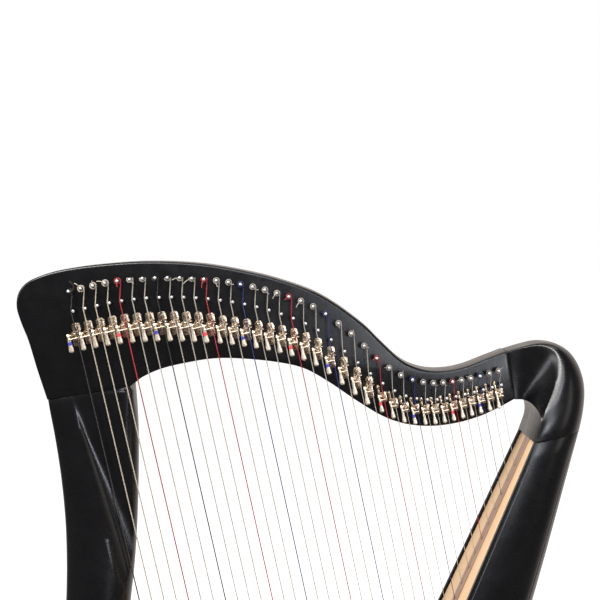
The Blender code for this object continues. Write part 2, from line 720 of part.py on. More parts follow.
def make_strings():
    top = level_depth(RIB_HEIGHT + BOARD_THICKNESS + 3 * GAP)
    half = INNER_RIB_WIDTH / 2
    rings = []
    for z in (INNER_RIB_TOP_Z, RIB_BOTTOM_Z):
        rings.append(flat_bar(z, top, top + level_depth(INNER_RIB_THICKNESS), -half, half))
    rib = lofted("string_set", rings, NYLON)
    strings = bmesh.new()
    for number in range(1, STRINGS + 1):
        tube_into(strings, string_route(number), string_radius(number))
    combine(rib, new_object("string_tubes", strings, NYLON), "UNION")


# Levers

def lever_size(number):
    return next(size for size in LEVER_SIZES if number <= size.last_string)


def lever_pivot(number):
    """The middle of the lever's axis, in front of the neck and beside the string."""
    x, z = bridge_bend(number)
    down = down_string(number)
    drop = smooth_value(LEVER_DROP, number)
    return to_world(x + down[0] * drop, NECK_NEAR_Y - PIVOT_OUT, z + down[1] * drop)


def lever_turn(number):
    """The rotation that stands a lever's own Z up along its string."""
    return -math.atan(string_slope(number))


def local(across, along, out):
    """A point beside the pivot: across the string, down along it, and out towards the viewer."""
    return Vector((across * MM, -out * MM, -along * MM))


def plate_cells(size):
    """The lever seen from its side: (along, out, left, right) of each corner, and its four-sided cells."""
    left, right = size.hub
    centre = size.handle_middle
    narrow, wide = size.handle_widths
    corners = []
    cells = []
    for i in range(RING_SIDES):
        angle = 2 * math.pi * (i + 0.5) / RING_SIDES - math.pi / 4
        corners.append((HUB_R * math.cos(angle), HUB_R * math.sin(angle), left, right))
        corners.append((HUB_BORE_R * math.cos(angle), HUB_BORE_R * math.sin(angle), left, right))
    for i in range(RING_SIDES):
        j = (i + 1) % RING_SIDES
        cells.append((2 * i, 2 * j, 2 * j + 1, 2 * i + 1))
    handle_root = (0, 2)
    rod_root = (2, 4)
    half = HANDLE_THICKNESS / 2
    low, high = handle_root
    for share, width in ((0.45, narrow), (0.9, wide), (1.0, wide * 0.7)):
        along = size.handle_length * share
        lift = HANDLE_LEAN * share
        first = len(corners)
        corners.append((along, lift - half, centre - width / 2, centre + width / 2))
        corners.append((along, lift + half, centre - width / 2, centre + width / 2))
        cells.append((low, first, first + 1, high))
        low, high = first, first + 1
    angle = math.radians(ROD_ANGLE_DEG)
    ray = (math.cos(angle), math.sin(angle))
    turn = (-ray[1], ray[0])
    base = len(corners)
    for reach, side in ((-1, -1), (-1, 1), (1, 1), (1, -1)):
        distance = ROD_ARM + reach * ROD_HALF
        along, out = [ray[i] * distance + turn[i] * side * ROD_HALF for i in (0, 1)]
        corners.append((along, out, left, right))
    cells.append((rod_root[0], base, base + 1, rod_root[1]))
    cells.append((base, base + 3, base + 2, base + 1))
    return corners, cells


def lever_mesh(size):
    corners, cells = plate_cells(size)
    mesh = bmesh.new()
    lefts = [mesh.verts.new(local(left, along, out)) for along, out, left, _ in corners]
    rights = [mesh.verts.new(local(right, along, out)) for along, out, _, right in corners]
    edges = {}
    for cell in cells:
        for i, start in enumerate(cell):
            end = cell[(i + 1) % 4]
            edges.setdefault(frozenset((start, end)), []).append((start, end))
    for uses in edges.values():
        if len(uses) == 1:
            start, end = uses[0]
            mesh.faces.new((lefts[start], lefts[end], rights[end], rights[start]))
    for cell in cells:
        mesh.faces.new([lefts[i] for i in reversed(cell)])
    for cell in cells[:-1]:
        mesh.faces.new([rights[i] for i in cell])
    rod = cells[-1]
    ends = [mesh.verts.new(local(size.rod_end, corners[i][0], corners[i][1])) for i in rod]
    for i in range(4):
        j = (i + 1) % 4
        mesh.faces.new((rights[rod[i]], rights[rod[j]], ends[j], ends[i]))
    mesh.faces.new(ends)
    bmesh.ops.recalc_face_normals(mesh, faces=mesh.faces)
    data = bpy.data.meshes.new(f"{size.name}_lever")
    mesh.to_mesh(data)
    mesh.free()
    data.materials.append(material_of(NICKEL))
    return data


def make_levers():
    meshes = {size.name: lever_mesh(size) for size in LEVER_SIZES}
    for number in range(1, STRINGS + 1):
        lever = bpy.data.objects.new(f"lever_{number:02d}", meshes[lever_size(number).name])
        lever.location = lever_pivot(number)
        lever.rotation_euler = (0.0, lever_turn(number), 0.0)
        bpy.context.scene.collection.objects.link(lever)


def box_into(mesh, place, across, along, out):
    """Adds a block given by its spans across, along and out from the pivot, moved to its place."""
    rings = []
    for distance in out:
        corners = [(across[0], along[0]), (across[1], along[0]), (across[1], along[1]), (across[0], along[1])]
        rings.append([place @ local(a, s, distance) for a, s in corners])
    loft_into(mesh, rings)


def make_brackets():
    """One fused piece: a strip along the neck, and on it each lever's plates, ear, axle and fret."""
    plate_front = PLATE_OUT - PIVOT_OUT
    root = plate_front - EAR_ROOT
    plate = (GAP + STRIP_THICKNESS / 4 - PIVOT_OUT, plate_front)
    path = []
    brackets = bmesh.new()
    for number in range(1, STRINGS + 1):
        size = lever_size(number)
        place = Matrix.Translation(lever_pivot(number)) @ Matrix.Rotation(lever_turn(number), 4, "Y")
        ear = size.ear
        box_into(brackets, place, size.upper_across, size.upper_along, plate)
        box_into(brackets, place, size.lower_across, size.lower_along, plate)
        box_into(brackets, place, ear, (-2 * AXLE_R, 2 * AXLE_R), (root, AXLE_R + EAR_ROOT))
        box_into(brackets, place, FRET_ACROSS, FRET_ALONG, (root, FRET_OUT - PIVOT_OUT))
        rings = []
        for across in (size.hub[0] - GAP, (ear[0] + ear[1]) / 2):
            ring = []
            for i in range(AXLE_SIDES):
                angle = 2 * math.pi * i / AXLE_SIDES
                ring.append(place @ local(across, AXLE_R * math.cos(angle), AXLE_R * math.sin(angle)))
            rings.append(ring)
        loft_into(brackets, rings)
        centre = place @ local((ear[0] + size.lower_across[1]) / 2, STRIP_ALONG, 0.0)
        path.append(Vector((centre.x, centre.z)))
    upper, lower = [], []
    for i, point in enumerate(path):
        along = (path[min(i + 1, len(path) - 1)] - path[max(i - 1, 0)]).normalized()
        normal = Vector((-along.y, along.x)) * STRIP_HALF_WIDTH * MM
        upper.append(point + normal)
        lower.append(point - normal)
    outline = upper + list(reversed(lower))
    near_y = (NECK_NEAR_Y - GAP - STRIP_THICKNESS) * MM
    far_y = (NECK_NEAR_Y - GAP) * MM
    rings = [[Vector((p.x, y, p.y)) for p in outline] for y in (near_y, far_y)]
    strip = lofted("lever_brackets", rings, NICKEL)
    combine(strip, new_object("bracket_blocks", brackets, NICKEL), "UNION", crossing=True)


# Base and fastenings

def round_ring(x, y, z, radius, sides):
    ring = []
    for i in range(sides):
        angle = 2 * math.pi * i / sides
        ring.append(to_world(x + radius * math.cos(angle), y + radius * math.sin(angle), z))
    return ring


def base_ring(z, inset):
    half = smooth_line(BASE_PLAN, 2)
    plan = [(x, y) for x, y in half] + [(x, -y) for x, y in reversed(half[1:-1])]
    middle = sum(x for x, _ in plan) / len(plan)
    ring = []
    for x, y in plan:
        reach = math.hypot(x - middle, y)
        shrink = (reach - inset) / reach
        ring.append(to_world(middle + (x - middle) * shrink, y * shrink, z))
    return ring


def make_base():
    bottom = BASE_TOP_Z - BASE_THICKNESS
    rings = [
        base_ring(BASE_TOP_Z, BASE_EDGE), base_ring(BASE_TOP_Z - BASE_EDGE, 0.0),
        base_ring(bottom + BASE_EDGE, 0.0), base_ring(bottom, BASE_EDGE),
    ]
    base = lofted("base", rings, LACQUER)
    foot_top = bottom - GAP
    for row, x, y in FEET:
        for side, way in (("left", -1), ("right", 1)):
            steps = (
                (foot_top, FOOT_R), (FOOT_CHAMFER - DATUM_Z, FOOT_R), (-DATUM_Z, FOOT_R - FOOT_CHAMFER)
            )
            rings = [round_ring(x, way * y, z, radius, FOOT_SIDES) for z, radius in steps]
            lofted(f"foot_{row}_{side}", rings, RUBBER)

    head_top = bottom + BOLT_HEAD_HEIGHT + GAP
    shaft_top = BASE_TOP_Z + BOLT_REACH
    shaft = (
        (bottom + GAP, BOLT_HEAD_R), (head_top, BOLT_HEAD_R), (head_top + STEP_RISE, BOLT_R),
        (shaft_top, BOLT_R),
    )
    lofted("pillar_bolt", [round_ring(BOLT_X, BOLT_Y, z, r, BOLT_SIDES) for z, r in shaft], STEEL)
    wide = BOLT_HEAD_R + BOLT_CLEARANCE
    narrow = BOLT_R + BOLT_CLEARANCE
    hole_step = head_top + GAP
    hole = (
        (bottom - BOLT_HEAD_HEIGHT, wide), (hole_step, wide), (hole_step + STEP_RISE, narrow),
        (shaft_top + BOLT_END_CLEARANCE, narrow),
    )
    cutter = [round_ring(BOLT_X, BOLT_Y, z, r, BOLT_SIDES) for z, r in hole]
    for target in (base, bpy.data.objects["pillar"]):
        combine(target, lofted(f"{target.name}_bolt_cutter", cutter, STEEL), "DIFFERENCE")


def main():
    clear_scene()
    make_neck()
    make_pillar()
    make_shoulder()
    make_soundbox()
    make_board()
    make_strings()
    make_brackets()
    make_levers()
    make_base()


main()
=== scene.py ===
"""The visual model of a floor harp with 38 strings and a sharping lever on each string.

Places in the plane of the strings are (x, z) in millimetres from a drawing datum at the height of the levers,
and Y is the distance behind that plane. Angles are in degrees where a name says so, and else in radians.
"""

import json
import math
from collections import namedtuple

import bpy
from mathutils import Matrix, Quaternion, Vector


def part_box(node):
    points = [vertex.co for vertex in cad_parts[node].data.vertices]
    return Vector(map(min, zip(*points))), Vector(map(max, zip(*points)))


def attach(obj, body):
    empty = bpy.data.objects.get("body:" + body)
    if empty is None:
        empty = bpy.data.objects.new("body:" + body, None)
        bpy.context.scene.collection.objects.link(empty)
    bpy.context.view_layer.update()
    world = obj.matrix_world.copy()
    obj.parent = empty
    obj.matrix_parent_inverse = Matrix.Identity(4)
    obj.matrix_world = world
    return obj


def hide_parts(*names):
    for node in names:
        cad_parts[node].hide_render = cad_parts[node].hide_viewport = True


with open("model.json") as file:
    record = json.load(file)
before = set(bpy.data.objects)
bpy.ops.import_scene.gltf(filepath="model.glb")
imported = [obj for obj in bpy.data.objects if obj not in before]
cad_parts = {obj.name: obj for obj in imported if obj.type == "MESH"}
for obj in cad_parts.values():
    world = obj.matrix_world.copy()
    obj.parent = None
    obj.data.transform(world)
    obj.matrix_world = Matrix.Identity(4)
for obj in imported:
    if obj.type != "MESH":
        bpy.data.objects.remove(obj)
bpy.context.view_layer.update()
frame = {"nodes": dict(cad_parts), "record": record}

MM = 0.001
DATUM_X = 0.9
DATUM_Z = 1190.0
# The hair of room between a string and its pin, and between pieces that would share a face.
GAP = 0.3
FRAME_BODY = "frame"

# Neck outline, from the pillar's seam over the top to the shoulder, then back along the lower edge.
NECK_NEAR_Y = 12.0
NECK_FAR_Y = 57.0
NECK_EDGE = 3.5
NECK_TOP_EDGE = (
    (-322, -128), (-334, -90), (-345, -52), (-353.5, -30), (-359, -10), (-356.5, 8), (-346, 21),
    (-328, 29.7), (-303, 37), (-260, 43.5), (-195, 48), (-130, 45.5), (-78, 37.5), (-26, 25), (26, 5.5),
    (78, -30), (105, -56), (131, -79), (157, -89.5), (184, -91), (210, -86), (236, -76), (262, -66),
)
NECK_LOWER_EDGE = (
    (272.7, -127.5), (253, -138.5), (229, -149.5), (200, -158), (168, -162), (136, -159.5), (107, -150),
    (73, -130), (36, -105), (5, -88), (-30, -80), (-76, -75.5), (-110, -75.5), (-145, -81), (-176, -88.5),
    (-199, -98.5), (-211, -107.5), (-214, -110),
)

# Strings and their pins: string number, x, z.
STRINGS = 38
TUNING_PINS = (
    (1, -289, 11), (5, -228, 24), (9, -165.5, 28), (13, -104.5, 24.5), (17, -43.8, 12.8), (21, 16.5, -8),
    (24, 64.5, -42), (26, 96.5, -73), (28, 127, -94.5), (30, 155, -103.3), (32, 180, -104),
    (35, 214.5, -98.5), (38, 249.5, -89),
)
BRIDGE_PINS = (
    (1, -284, -14), (5, -223, -1), (9, -160.5, 3.6), (13, -99.5, -0.3), (17, -38.5, -12.8), (21, 23, -38),
    (24, 73, -79), (26, 104.5, -105), (28, 133.5, -121), (30, 160.5, -125.5), (32, 185, -124),
    (35, 219.5, -116), (38, 253.5, -107),
)
FIRST_SLOPE = 0.2225
SLOPE_STEP = -0.00065
BASS_STRING_R = 0.80
TREBLE_STRING_R = 0.30
TUNING_PIN_R = 3.2
BRIDGE_PIN_R = 1.9
RED_STRINGS = (5, 12, 19, 26, 33)
BLUE_STRINGS = (15, 22, 29, 36)
DARK_STRINGS = (1, 8)
WOUND_STRINGS = 4
# A string's tail behind the inner rib, its straight starts at the board and at the bridge pin, and the share
# of its way to the tuning pin on which it turns.
STRING_TAIL = 2.0
BOARD_EASE = 1.5
BEND_EASE = 2
LEAVING_SHARE = 0.08
# The coil on the tuning pin: turns, points in a turn, its rise in string radii for each turn, and how far it
# bites into the pin.
COIL_TURNS = 2.75
COIL_STEPS = 18
COIL_PITCH = 2.05
COIL_BITE = 0.35
# The cut end of the string at its tuning pin: its direction in degrees from +X, and its length.
STRING_ENDS = {
    2: (120, 7.2), 3: (80, 3.2), 4: (150, 7.2), 5: (255, 4), 6: (-60, 4), 7: (60, 7.2), 9: (105, 5.6),
    10: (178, 6.4), 11: (195, 9.6), 12: (237, 8), 13: (265, 4.8), 14: (-40, 4), 16: (-45, 4.8), 17: (-60, 4),
    18: (215, 5.6), 19: (200, 3.2), 20: (215, 6.4), 22: (140, 3), 23: (265, 3), 24: (45, 2.5), 25: (-35, 3),
    26: (185, 3), 27: (160, 3), 28: (50, 3.5), 29: (40, 3), 31: (-50, 2.5), 32: (-55, 2.5), 34: (170, 3),
    35: (140, 3.5), 36: (115, 3), 37: (120, 2.5), 38: (30, 3.5),
}
# Each of these ends turns a little on its way out, starts this far from the pin's middle, rises towards its
# tip, and stands clear of the coil. The first string's end curls up beside its pin instead.
END_SWING_DEG = 18
END_START = 1.5
END_RISE = 1.5
END_CLEAR = 0.4
FIRST_END = ((-20, 2.0), (20, 6.5), (45, 9.5), (70, 11.5), (95, 12.5), (115, 13.5), (128, 14.5))
# A knot: the points of its loops, the points in one loop, and the radius that its string's own adds to.
KNOT_POINTS = 15
KNOT_STEPS = 7
KNOT_R = 1.2

# Turned parts of the pins: how far out from the neck's near side, and the radius there.
TUNING_COLLAR = ((-46.5, 3.9), (-46.0, 3.9), (-45.6, 3.7))
TUNING_SQUARE = ((-62.0, 2.6), (-61.2, 3.05), (-47.5, 3.4), (-46.0, 3.4))
TUNING_NEAR = ((-0.6, 2.9), (0.0, 2.9), (13.5, 2.85), (14.2, 2.5), (14.6, 2.15), (15.2, 2.0))
TUNING_TIP = ((15.0, 1.9), (15.1, 2.1), (17.3, 2.1), (18.1, 1.85), (18.7, 1.3), (19.0, 0.5))
BRIDGE_SHAFT = ((-0.6, 1.9), (10.2, 1.9), (10.7, 1.55), (12.9, 1.5))
BRIDGE_HEAD = ((12.7, 1.4), (12.9, 1.8), (13.3, 1.9), (13.9, 1.9), (14.4, 1.65), (14.8, 1.15), (15.0, 0.5))

# Soundbox and soundboard.
BOARD_X = 277.4
BOARD_Z = -195.0
BOARD_SLOPE = 0.4316
BOARD_THICKNESS = 4.0
BOX_TOP_Z = -171.5
BOX_BOTTOM_Z = -1129.7
BOX_TOP_TILT = 0.19
BOX_TILT_ENDS_Z = -400.0
BOX_HALF_WIDTH = ((-1140, 152), (-850, 110), (-600, 84), (-380, 66), (-165, 49.5))
BOX_DEPTH = ((-1140, 226), (-850, 178), (-600, 136), (-390, 98.5), (-325, 88.8), (-206, 69), (-171, 63))
BOX_ROUNDNESS = 2.25
SHELL_THICKNESS = 5.0
RIM_PROUD = 2.0
# The flat strip along a side's front edge: its width, how much lower it lies than the side, its arris, and
# how far the side's first points stay clear of it.
RAIL_BAND = 3.6
RAIL_STEP = 0.8
RAIL_ARRIS = 0.7
RAIL_ARRIS_DROP = 0.1
RAIL_CLEAR = 0.3
RAIL_STAGGER = 0.02
BACK_SEAM_DEG = 58.0
SEAM_DEG = 0.2
# Sound holes: height, half-width, half-height; and the share of the box's depth at which their cutters start.
SOUND_HOLES = ((-460, 34, 46), (-622, 40, 54), (-792, 46, 60), (-965, 50, 66))
HOLE_START = 0.55
HOLE_STEPS = 56
RIB_HEIGHT = 1.2
INNER_RIB_WIDTH = 24.0
INNER_RIB_THICKNESS = 6.0
RIB_TOP_Z = -208.0
RIB_BOTTOM_Z = -1006.0

# Pillar: height, left side, right side; then how its section changes on the way down.
PILLAR_SIDES = (
    (-1129.7, -240, -140), (-1050, -250, -168), (-960, -270, -193), (-860, -287.5, -214.5),
    (-740, -301, -229), (-620, -306.5, -233.5), (-500, -305, -229), (-390, -301.3, -218.7),
    (-340, -300.6, -213.5), (-285, -302.4, -210), (-225, -308.4, -208.4), (-175, -316, -209),
    (-128.6, -322, -214),
)
PILLAR_NEAR_Y = ((-1130, -30), (-480, -24), (-390, -15), (-260, -1), (-180, 7.5), (-128.6, 12))
PILLAR_FAR_Y = ((-1130, 46), (-600, 46), (-390, 50), (-128.6, 57))
PILLAR_ROUNDNESS = ((-1130, 2.2), (-400, 2.2), (-300, 2.3), (-220, 2.6), (-165, 3.6), (-128.6, 9.0))
PILLAR_TILT_ENDS_Z = -320.0
# Rings are close together down to the first height, and wider apart from the second one on.
PILLAR_CLOSE_Z = -520.0
PILLAR_WIDE_Z = -535.0
CUT_START_X = -290.8
CUT_START_Z = -127.0
CUT_SLOPE = 0.2736
# The cove beside the cut's ridge: its least width, its width for each millimetre of the cut's depth, and how
# far from the pillar's right side it starts at most. Its points crowd towards the ridge by a power.
CUT_COVE_LEAST = 8.0
CUT_COVE_SPREAD = 1.9
CUT_RIDGE_INSET = 3.25
CUT_CROWDING = 1.4
CUT_LEAST_SHARE = 0.12

# Shoulder sections: number, inner x and z, outer x and z, crest's share, then Y of the inner edge, the crest,
# the outermost line and the far side, and how round the section is.
SHOULDER_SECTIONS = (
    (0, 273.1, -127.5, 262.4, -66.0, 0.92, 12, 12, 34.5, 57, 9.0),
    (1, 277, -127.3, 284.5, -59.0, 0.92, 12, 9, 34, 57, 7.5),
    (2, 281, -127.1, 305, -54.2, 0.90, 10, 2, 32, 57, 5.0),
    (3, 285, -127.3, 323.8, -56.0, 0.82, 4, -10, 28, 56.5, 3.2),
    (4, 288.5, -128.5, 339, -64.2, 0.57, -8, -24, 22, 56, 2.5),
    (5, 291.3, -131.5, 349, -77.0, 0.30, -22, -35, 16, 55, 2.3),
    (6, 293.2, -136.0, 354.8, -92.5, 0.12, -35, -42, 10, 54, 2.25),
    (7, 293.9, -142.5, 357.2, -109.0, 0.05, -44.5, -46, 6, 53, 2.25),
    (8, 293.0, -151.0, 356.5, -126.0, 0.04, -48, -48.5, 3, 52, 2.25),
    (9, 289.8, -161.0, 354.0, -143.0, 0.04, -49.5, -49.8, 1, 51, 2.25),
)
SHOULDER_CREST_END = 0.04
FLARE_POWER = 1.6
SHOULDER_RINGS = 61
# The shoulder's sharp edges are eased to the right of this.
NECK_SIDE_X = 285.0

BASE_PLAN = (
    (-250, 0), (-242, 36), (-214, 58), (-180, 88), (-152, 136), (-122, 163), (-70, 160), (0, 140), (62, 106),
    (106, 58), (122, 0),
)
BASE_TOP_Z = -1130.0
BASE_BOTTOM_Z = -1172.0
BASE_EDGE = 6.0
FEET = (
    ("foot_front_left", -205.0, -38.0), ("foot_front_right", -205.0, 38.0),
    ("foot_rear_left", 20.0, -98.0), ("foot_rear_right", 20.0, 98.0),
)
# Foot and bolt profiles: height and radius. The foot's top ends just under the base.
FOOT_PROFILE = ((0.0, 12.6), (0.01, 13.8), (1.4, 15.0), (4.0, 15.8), (5.2, 14.9), (6.4, 16.0), (12.0, 15.4))
FOOT_TOP_R = 15.0
FOOT_CLEAR = 0.4
BOLT_PROFILE = ((0.0, 8.2), (0.3, 8.8), (6.4, 9.0), (7.0, 8.6), (7.1, 4.9), (90.0, 4.9), (112.0, 4.4))
BOLT_X = -192.0
BOLT_Y = 8.0

# Levers, in each one's own frame: across the string to the right, out from the neck, and down the string.
PIVOT_OUT = 11.0
HUB_R = 3.2
CAP_R = 1.7
AXLE_R = 1.35
ROD_ARM = 6.0
ROD_R = 0.85
ROD_ANGLE_DEG = 56.0
ARM_START = 1.6
ARM_HALF = 1.2
HANDLE_THICK = 1.45
HANDLE_TIP = 0.9
HANDLE_LEAN = 2.4
HANDLE_CORNER = 4.0
SLEEVE_SPAN = (0.33, 0.53)
SLEEVE_PROUD = 0.28
FRET_OUT = 10.0 - PIVOT_OUT
PLATE_LOW = 0.3 - PIVOT_OUT
PLATE_TOP = 2.4 - PIVOT_OUT
# The handle's middle lies across from the string, and the upper plate has a left, a right and a far end.
LeverSize = namedtuple("LeverSize", "name last hub ear rod_end middle narrow wide length upper")
LEVER_SIZES = (
    LeverSize("bass", 12, (-12.2, -8.6), (-8.2, -6.8), 1.7, -10.5, 4.4, 6.2, 20.5, (-6.0, 4.6, -15.0)),
    LeverSize("middle", 25, (-10.1, -6.8), (-6.4, -5.1), 1.7, -8.4, 3.8, 5.9, 20.0, (-5.4, 4.2, -13.2)),
    LeverSize("treble", 38, (-7.1, -4.2), (-3.8, -2.6), 1.8, -5.4, 2.9, 5.0, 19.5, None),
)


def at(x, y, z):
    return Vector(((x + DATUM_X) * MM, y * MM, (z + DATUM_Z) * MM))


# Curves through a few points

def smooth_values(rows, where):
    """The values at `where` of a smooth curve through rows of (where, value, ...), in rising order."""
    last = len(rows) - 1
    i = next((k for k in range(last - 1) if where < rows[k + 1][0]), last - 1)
    span = rows[i + 1][0] - rows[i][0]
    u = (where - rows[i][0]) / span

    def slope(k, column):
        before = rows[max(k - 1, 0)]
        after = rows[min(k + 1, last)]
        return span * (after[column] - before[column]) / (after[0] - before[0])

    found = []
    for column in range(1, len(rows[0])):
        start = rows[i][column] * (2 * u**3 - 3 * u**2 + 1)
        end = rows[i + 1][column] * (3 * u**2 - 2 * u**3)
        leaving = slope(i, column) * (u**3 - 2 * u**2 + u)
        arriving = slope(i + 1, column) * (u**3 - u**2)
        found.append(start + end + leaving + arriving)
    return found


def smooth_value(rows, where):
    return smooth_values(rows, where)[0]


def smooth_line(points, per_span):
    """A smooth line through points, with the same number of steps from each to the next."""
    rows = [(0.0, *points[0])]
    for before, after in zip(points, points[1:]):
        rows.append((rows[-1][0] + math.dist(before, after), *after))
    line = []
    for first, second in zip(rows, rows[1:]):
        for step in range(per_span):
            line.append(smooth_values(rows, first[0] + (second[0] - first[0]) * step / per_span))
    line.append(list(points[-1]))
    return line


def spread(first, last, count):
    return [first + (last - first) * i / (count - 1) for i in range(count)]


def round_steps(count):
    """Cosine and sine of even steps once round a circle."""
    angles = [2 * math.pi * step / count for step in range(count)]
    return [(math.cos(angle), math.sin(angle)) for angle in angles]


# Materials

def linear(hexcode):
    """The linear colour of an sRGB hex value."""
    channels = [int(hexcode[i:i + 2], 16) / 255 for i in (1, 3, 5)]
    return (*[c / 12.92 if c <= 0.04045 else ((c + 0.055) / 1.055) ** 2.4 for c in channels], 1.0)


def add_node(tree, kind, settings=None, inputs=None):
    """Adds a node, sets its settings and its plain inputs, and links each input that is given a socket."""
    made = tree.nodes.new(kind)
    for key, value in (settings or {}).items():
        setattr(made, key, value)
    for key, value in (inputs or {}).items():
        if isinstance(value, bpy.types.NodeSocket):
            tree.links.new(value, made.inputs[key])
        else:
            made.inputs[key].default_value = value
    return made


def new_material(name, **values):
    """A material with its Principled shader's plain sockets set. Returns it, its tree and the shader."""
    made = bpy.data.materials.new(name)
    made.use_nodes = True
    shader = made.node_tree.nodes["Principled BSDF"]
    for key, value in values.items():
        shader.inputs[key.replace("_", " ")].default_value = value
    return made, made.node_tree, shader


def place_coordinates(tree, scale=(1, 1, 1), turn=(0, 0, 0)):
    """Object coordinates, turned and scaled."""
    source = add_node(tree, "ShaderNodeTexCoord")
    turned = add_node(tree, "ShaderNodeMapping", None, {"Vector": source.outputs["Object"], "Rotation": turn})
    mapping = add_node(tree, "ShaderNodeMapping", None, {"Vector": turned.outputs[0], "Scale": scale})
    return mapping.outputs[0]


def noise(tree, vector, scale, detail=2.0, roughness=0.5):
    made = add_node(tree, "ShaderNodeTexNoise", None, {
        "Vector": vector, "Scale": scale, "Detail": detail, "Roughness": roughness})
    return made.outputs["Fac"]


def spread_range(tree, value, low, high, from_low=0.3, from_high=0.7):
    made = add_node(tree, "ShaderNodeMapRange", None, {
        "Value": value, "From Min": from_low, "From Max": from_high, "To Min": low, "To Max": high})
    return made.outputs["Result"]


def mixed(tree, factor, first, second):
    made = add_node(tree, "ShaderNodeMix", {"data_type": "RGBA"}, {0: factor, 6: first, 7: second})
    return made.outputs[2]


def bumped(tree, height, distance, strength):
    made = add_node(tree, "ShaderNodeBump", None, {
        "Height": height, "Distance": distance, "Strength": strength})
    return made.outputs["Normal"]


def tinted(tree, value, first, second, low=0.3, high=0.7):
    """Goes from the first colour to the second while a value goes from low to high."""
    return mixed(tree, spread_range(tree, value, 0.0, 1.0, low, high), linear(first), linear(second))


def give(tree, shader, **outputs):
    """Links outputs to the shader's sockets, which are named with _ for a space."""
    for key, output in outputs.items():
        tree.links.new(output, shader.inputs[key.replace("_", " ")])


def black_lacquer():
    """Maple under sprayed black polyester lacquer, rubbed to a satin: near black, soft wide highlights, and
    a faint orange-peel ripple."""
    made, tree, shader = new_material("black_satin_lacquer", IOR=1.5)
    coordinates = place_coordinates(tree)
    cloudy = noise(tree, coordinates, 14.0, 4.0)
    smear = noise(tree, coordinates, 55.0, 3.0)
    peel = noise(tree, coordinates, 320.0, 1.0)
    give(tree, shader, Base_Color=tinted(tree, cloudy, "#050506", "#08080A"),
         Roughness=spread_range(tree, smear, 0.23, 0.31), Normal=bumped(tree, peel, 0.00003, 0.5))
    return made


def straight_grain(name, pale, dark, streak, turn, roughness, coarse):
    """Quarter-sawn wood: straight fibres along the piece with darker winter growth between them. The growth
    lines of real spruce are 1 to 2 mm apart; they are drawn up to 3 mm apart so that they show."""
    made, tree, shader = new_material(
        name, Roughness=roughness, IOR=1.5, Coat_Weight=0.15, Coat_Roughness=0.3)
    fibres = place_coordinates(tree, (coarse, coarse, coarse * 0.02), turn)
    base = tinted(tree, noise(tree, fibres, 1.0, 3.0, 0.6), pale, dark, 0.35, 0.68)
    wide = noise(tree, place_coordinates(tree, (16, 16, 1.5), turn), 1.0, 2.0)
    toned = mixed(tree, spread_range(tree, wide, 0.0, 0.55), base, linear(streak))
    pores = noise(tree, place_coordinates(tree, (1500, 1500, 60), turn), 1.0, 1.0)
    give(tree, shader, Base_Color=toned, Normal=bumped(tree, pores, 0.00006, 0.35))
    return made


def plated_metal(name, warm, pale, roughness):
    """Plated or blued metal, tumbled smooth: one even colour with fine handling wear and scuffs."""
    made, tree, shader = new_material(name, Metallic=1.0)
    coordinates = place_coordinates(tree)
    worn = noise(tree, coordinates, 420.0, 3.0)
    scuffs = noise(tree, coordinates, 900.0, 2.0)
    give(tree, shader, Base_Color=tinted(tree, worn, warm, pale),
         Roughness=spread_range(tree, scuffs, roughness * 0.7, roughness * 1.5),
         Normal=bumped(tree, scuffs, 0.00002, 0.4))
    return made


def tumbled_nickel():
    """Stamped brass brackets, tumbled and nickel plated. Their brown-to-cream mottle is partly wear, bright
    where rubbed and brown where the plating is thin, and partly painted reflection: brown for the dim room
    mirrored in the nickel, cream for painted highlights.
    The real mottling is under half a millimetre; it is drawn near one millimetre so that it shows."""
    made, tree, shader = new_material("tumbled_nickel", Metallic=1.0)
    coordinates = place_coordinates(tree)
    mottled = noise(tree, coordinates, 620.0, 3.0, 0.65)
    dents = noise(tree, coordinates, 800.0, 2.0)
    # Its brown and cream are partly wear and partly painted reflection and highlight.
    give(tree, shader, Base_Color=tinted(tree, mottled, "#94765A", "#F2E2CA", 0.4, 0.6),
         Roughness=spread_range(tree, mottled, 0.2, 0.36), Normal=bumped(tree, dents, 0.00018, 0.7))
    return made


def monofilament(name, colour, shade):
    """Extruded nylon string: smooth, waxy and half clear, a little clouded along its length, so that it looks
    paler on a white ground and darker on a black one."""
    made, tree, shader = new_material(name, Roughness=0.34, IOR=1.53, Transmission_Weight=0.45)
    clouds = noise(tree, place_coordinates(tree, (1, 1, 0.2)), 240.0, 2.0)
    give(tree, shader, Base_Color=tinted(tree, clouds, colour, shade))
    return made


def wound_string(name, colour, groove_shade):
    """A core overspun with flat wire: a fine thread all the way along, with painted shade darkening the
    grooves between the turns. The turns of the real wire are 0.3 mm wide; they are drawn 1.6 mm wide so that
    they show."""
    made, tree, shader = new_material(name, Roughness=0.42, Metallic=0.35)
    turns = add_node(tree, "ShaderNodeTexWave", {"bands_direction": "Z"}, {
        "Vector": place_coordinates(tree), "Scale": 195.0, "Distortion": 0.0}).outputs["Fac"]
    give(tree, shader, Base_Color=mixed(tree, turns, linear(groove_shade), linear(colour)),
         Normal=bumped(tree, turns, 0.0002, 0.6))
    return made


def moulded_sleeve(name, colour, shade):
    """Moulded vinyl sleeve that marks a lever: saturated, half matt, faintly mottled."""
    made, tree, shader = new_material(name, Roughness=0.45, IOR=1.5)
    mottled = noise(tree, place_coordinates(tree), 600.0, 2.0)
    give(tree, shader, Base_Color=tinted(tree, mottled, colour, shade))
    return made


def black_rubber():
    """Moulded rubber feet: matt, with fine grit and dust."""
    made, tree, shader = new_material("black_rubber", Roughness=0.85, IOR=1.5)
    coordinates = place_coordinates(tree)
    dust = noise(tree, coordinates, 90.0, 5.0)
    grit = noise(tree, coordinates, 1400.0)
    give(tree, shader, Base_Color=tinted(tree, dust, "#19191A", "#3A3835", 0.45, 0.8),
         Normal=bumped(tree, grit, 0.0001, 0.5))
    return made


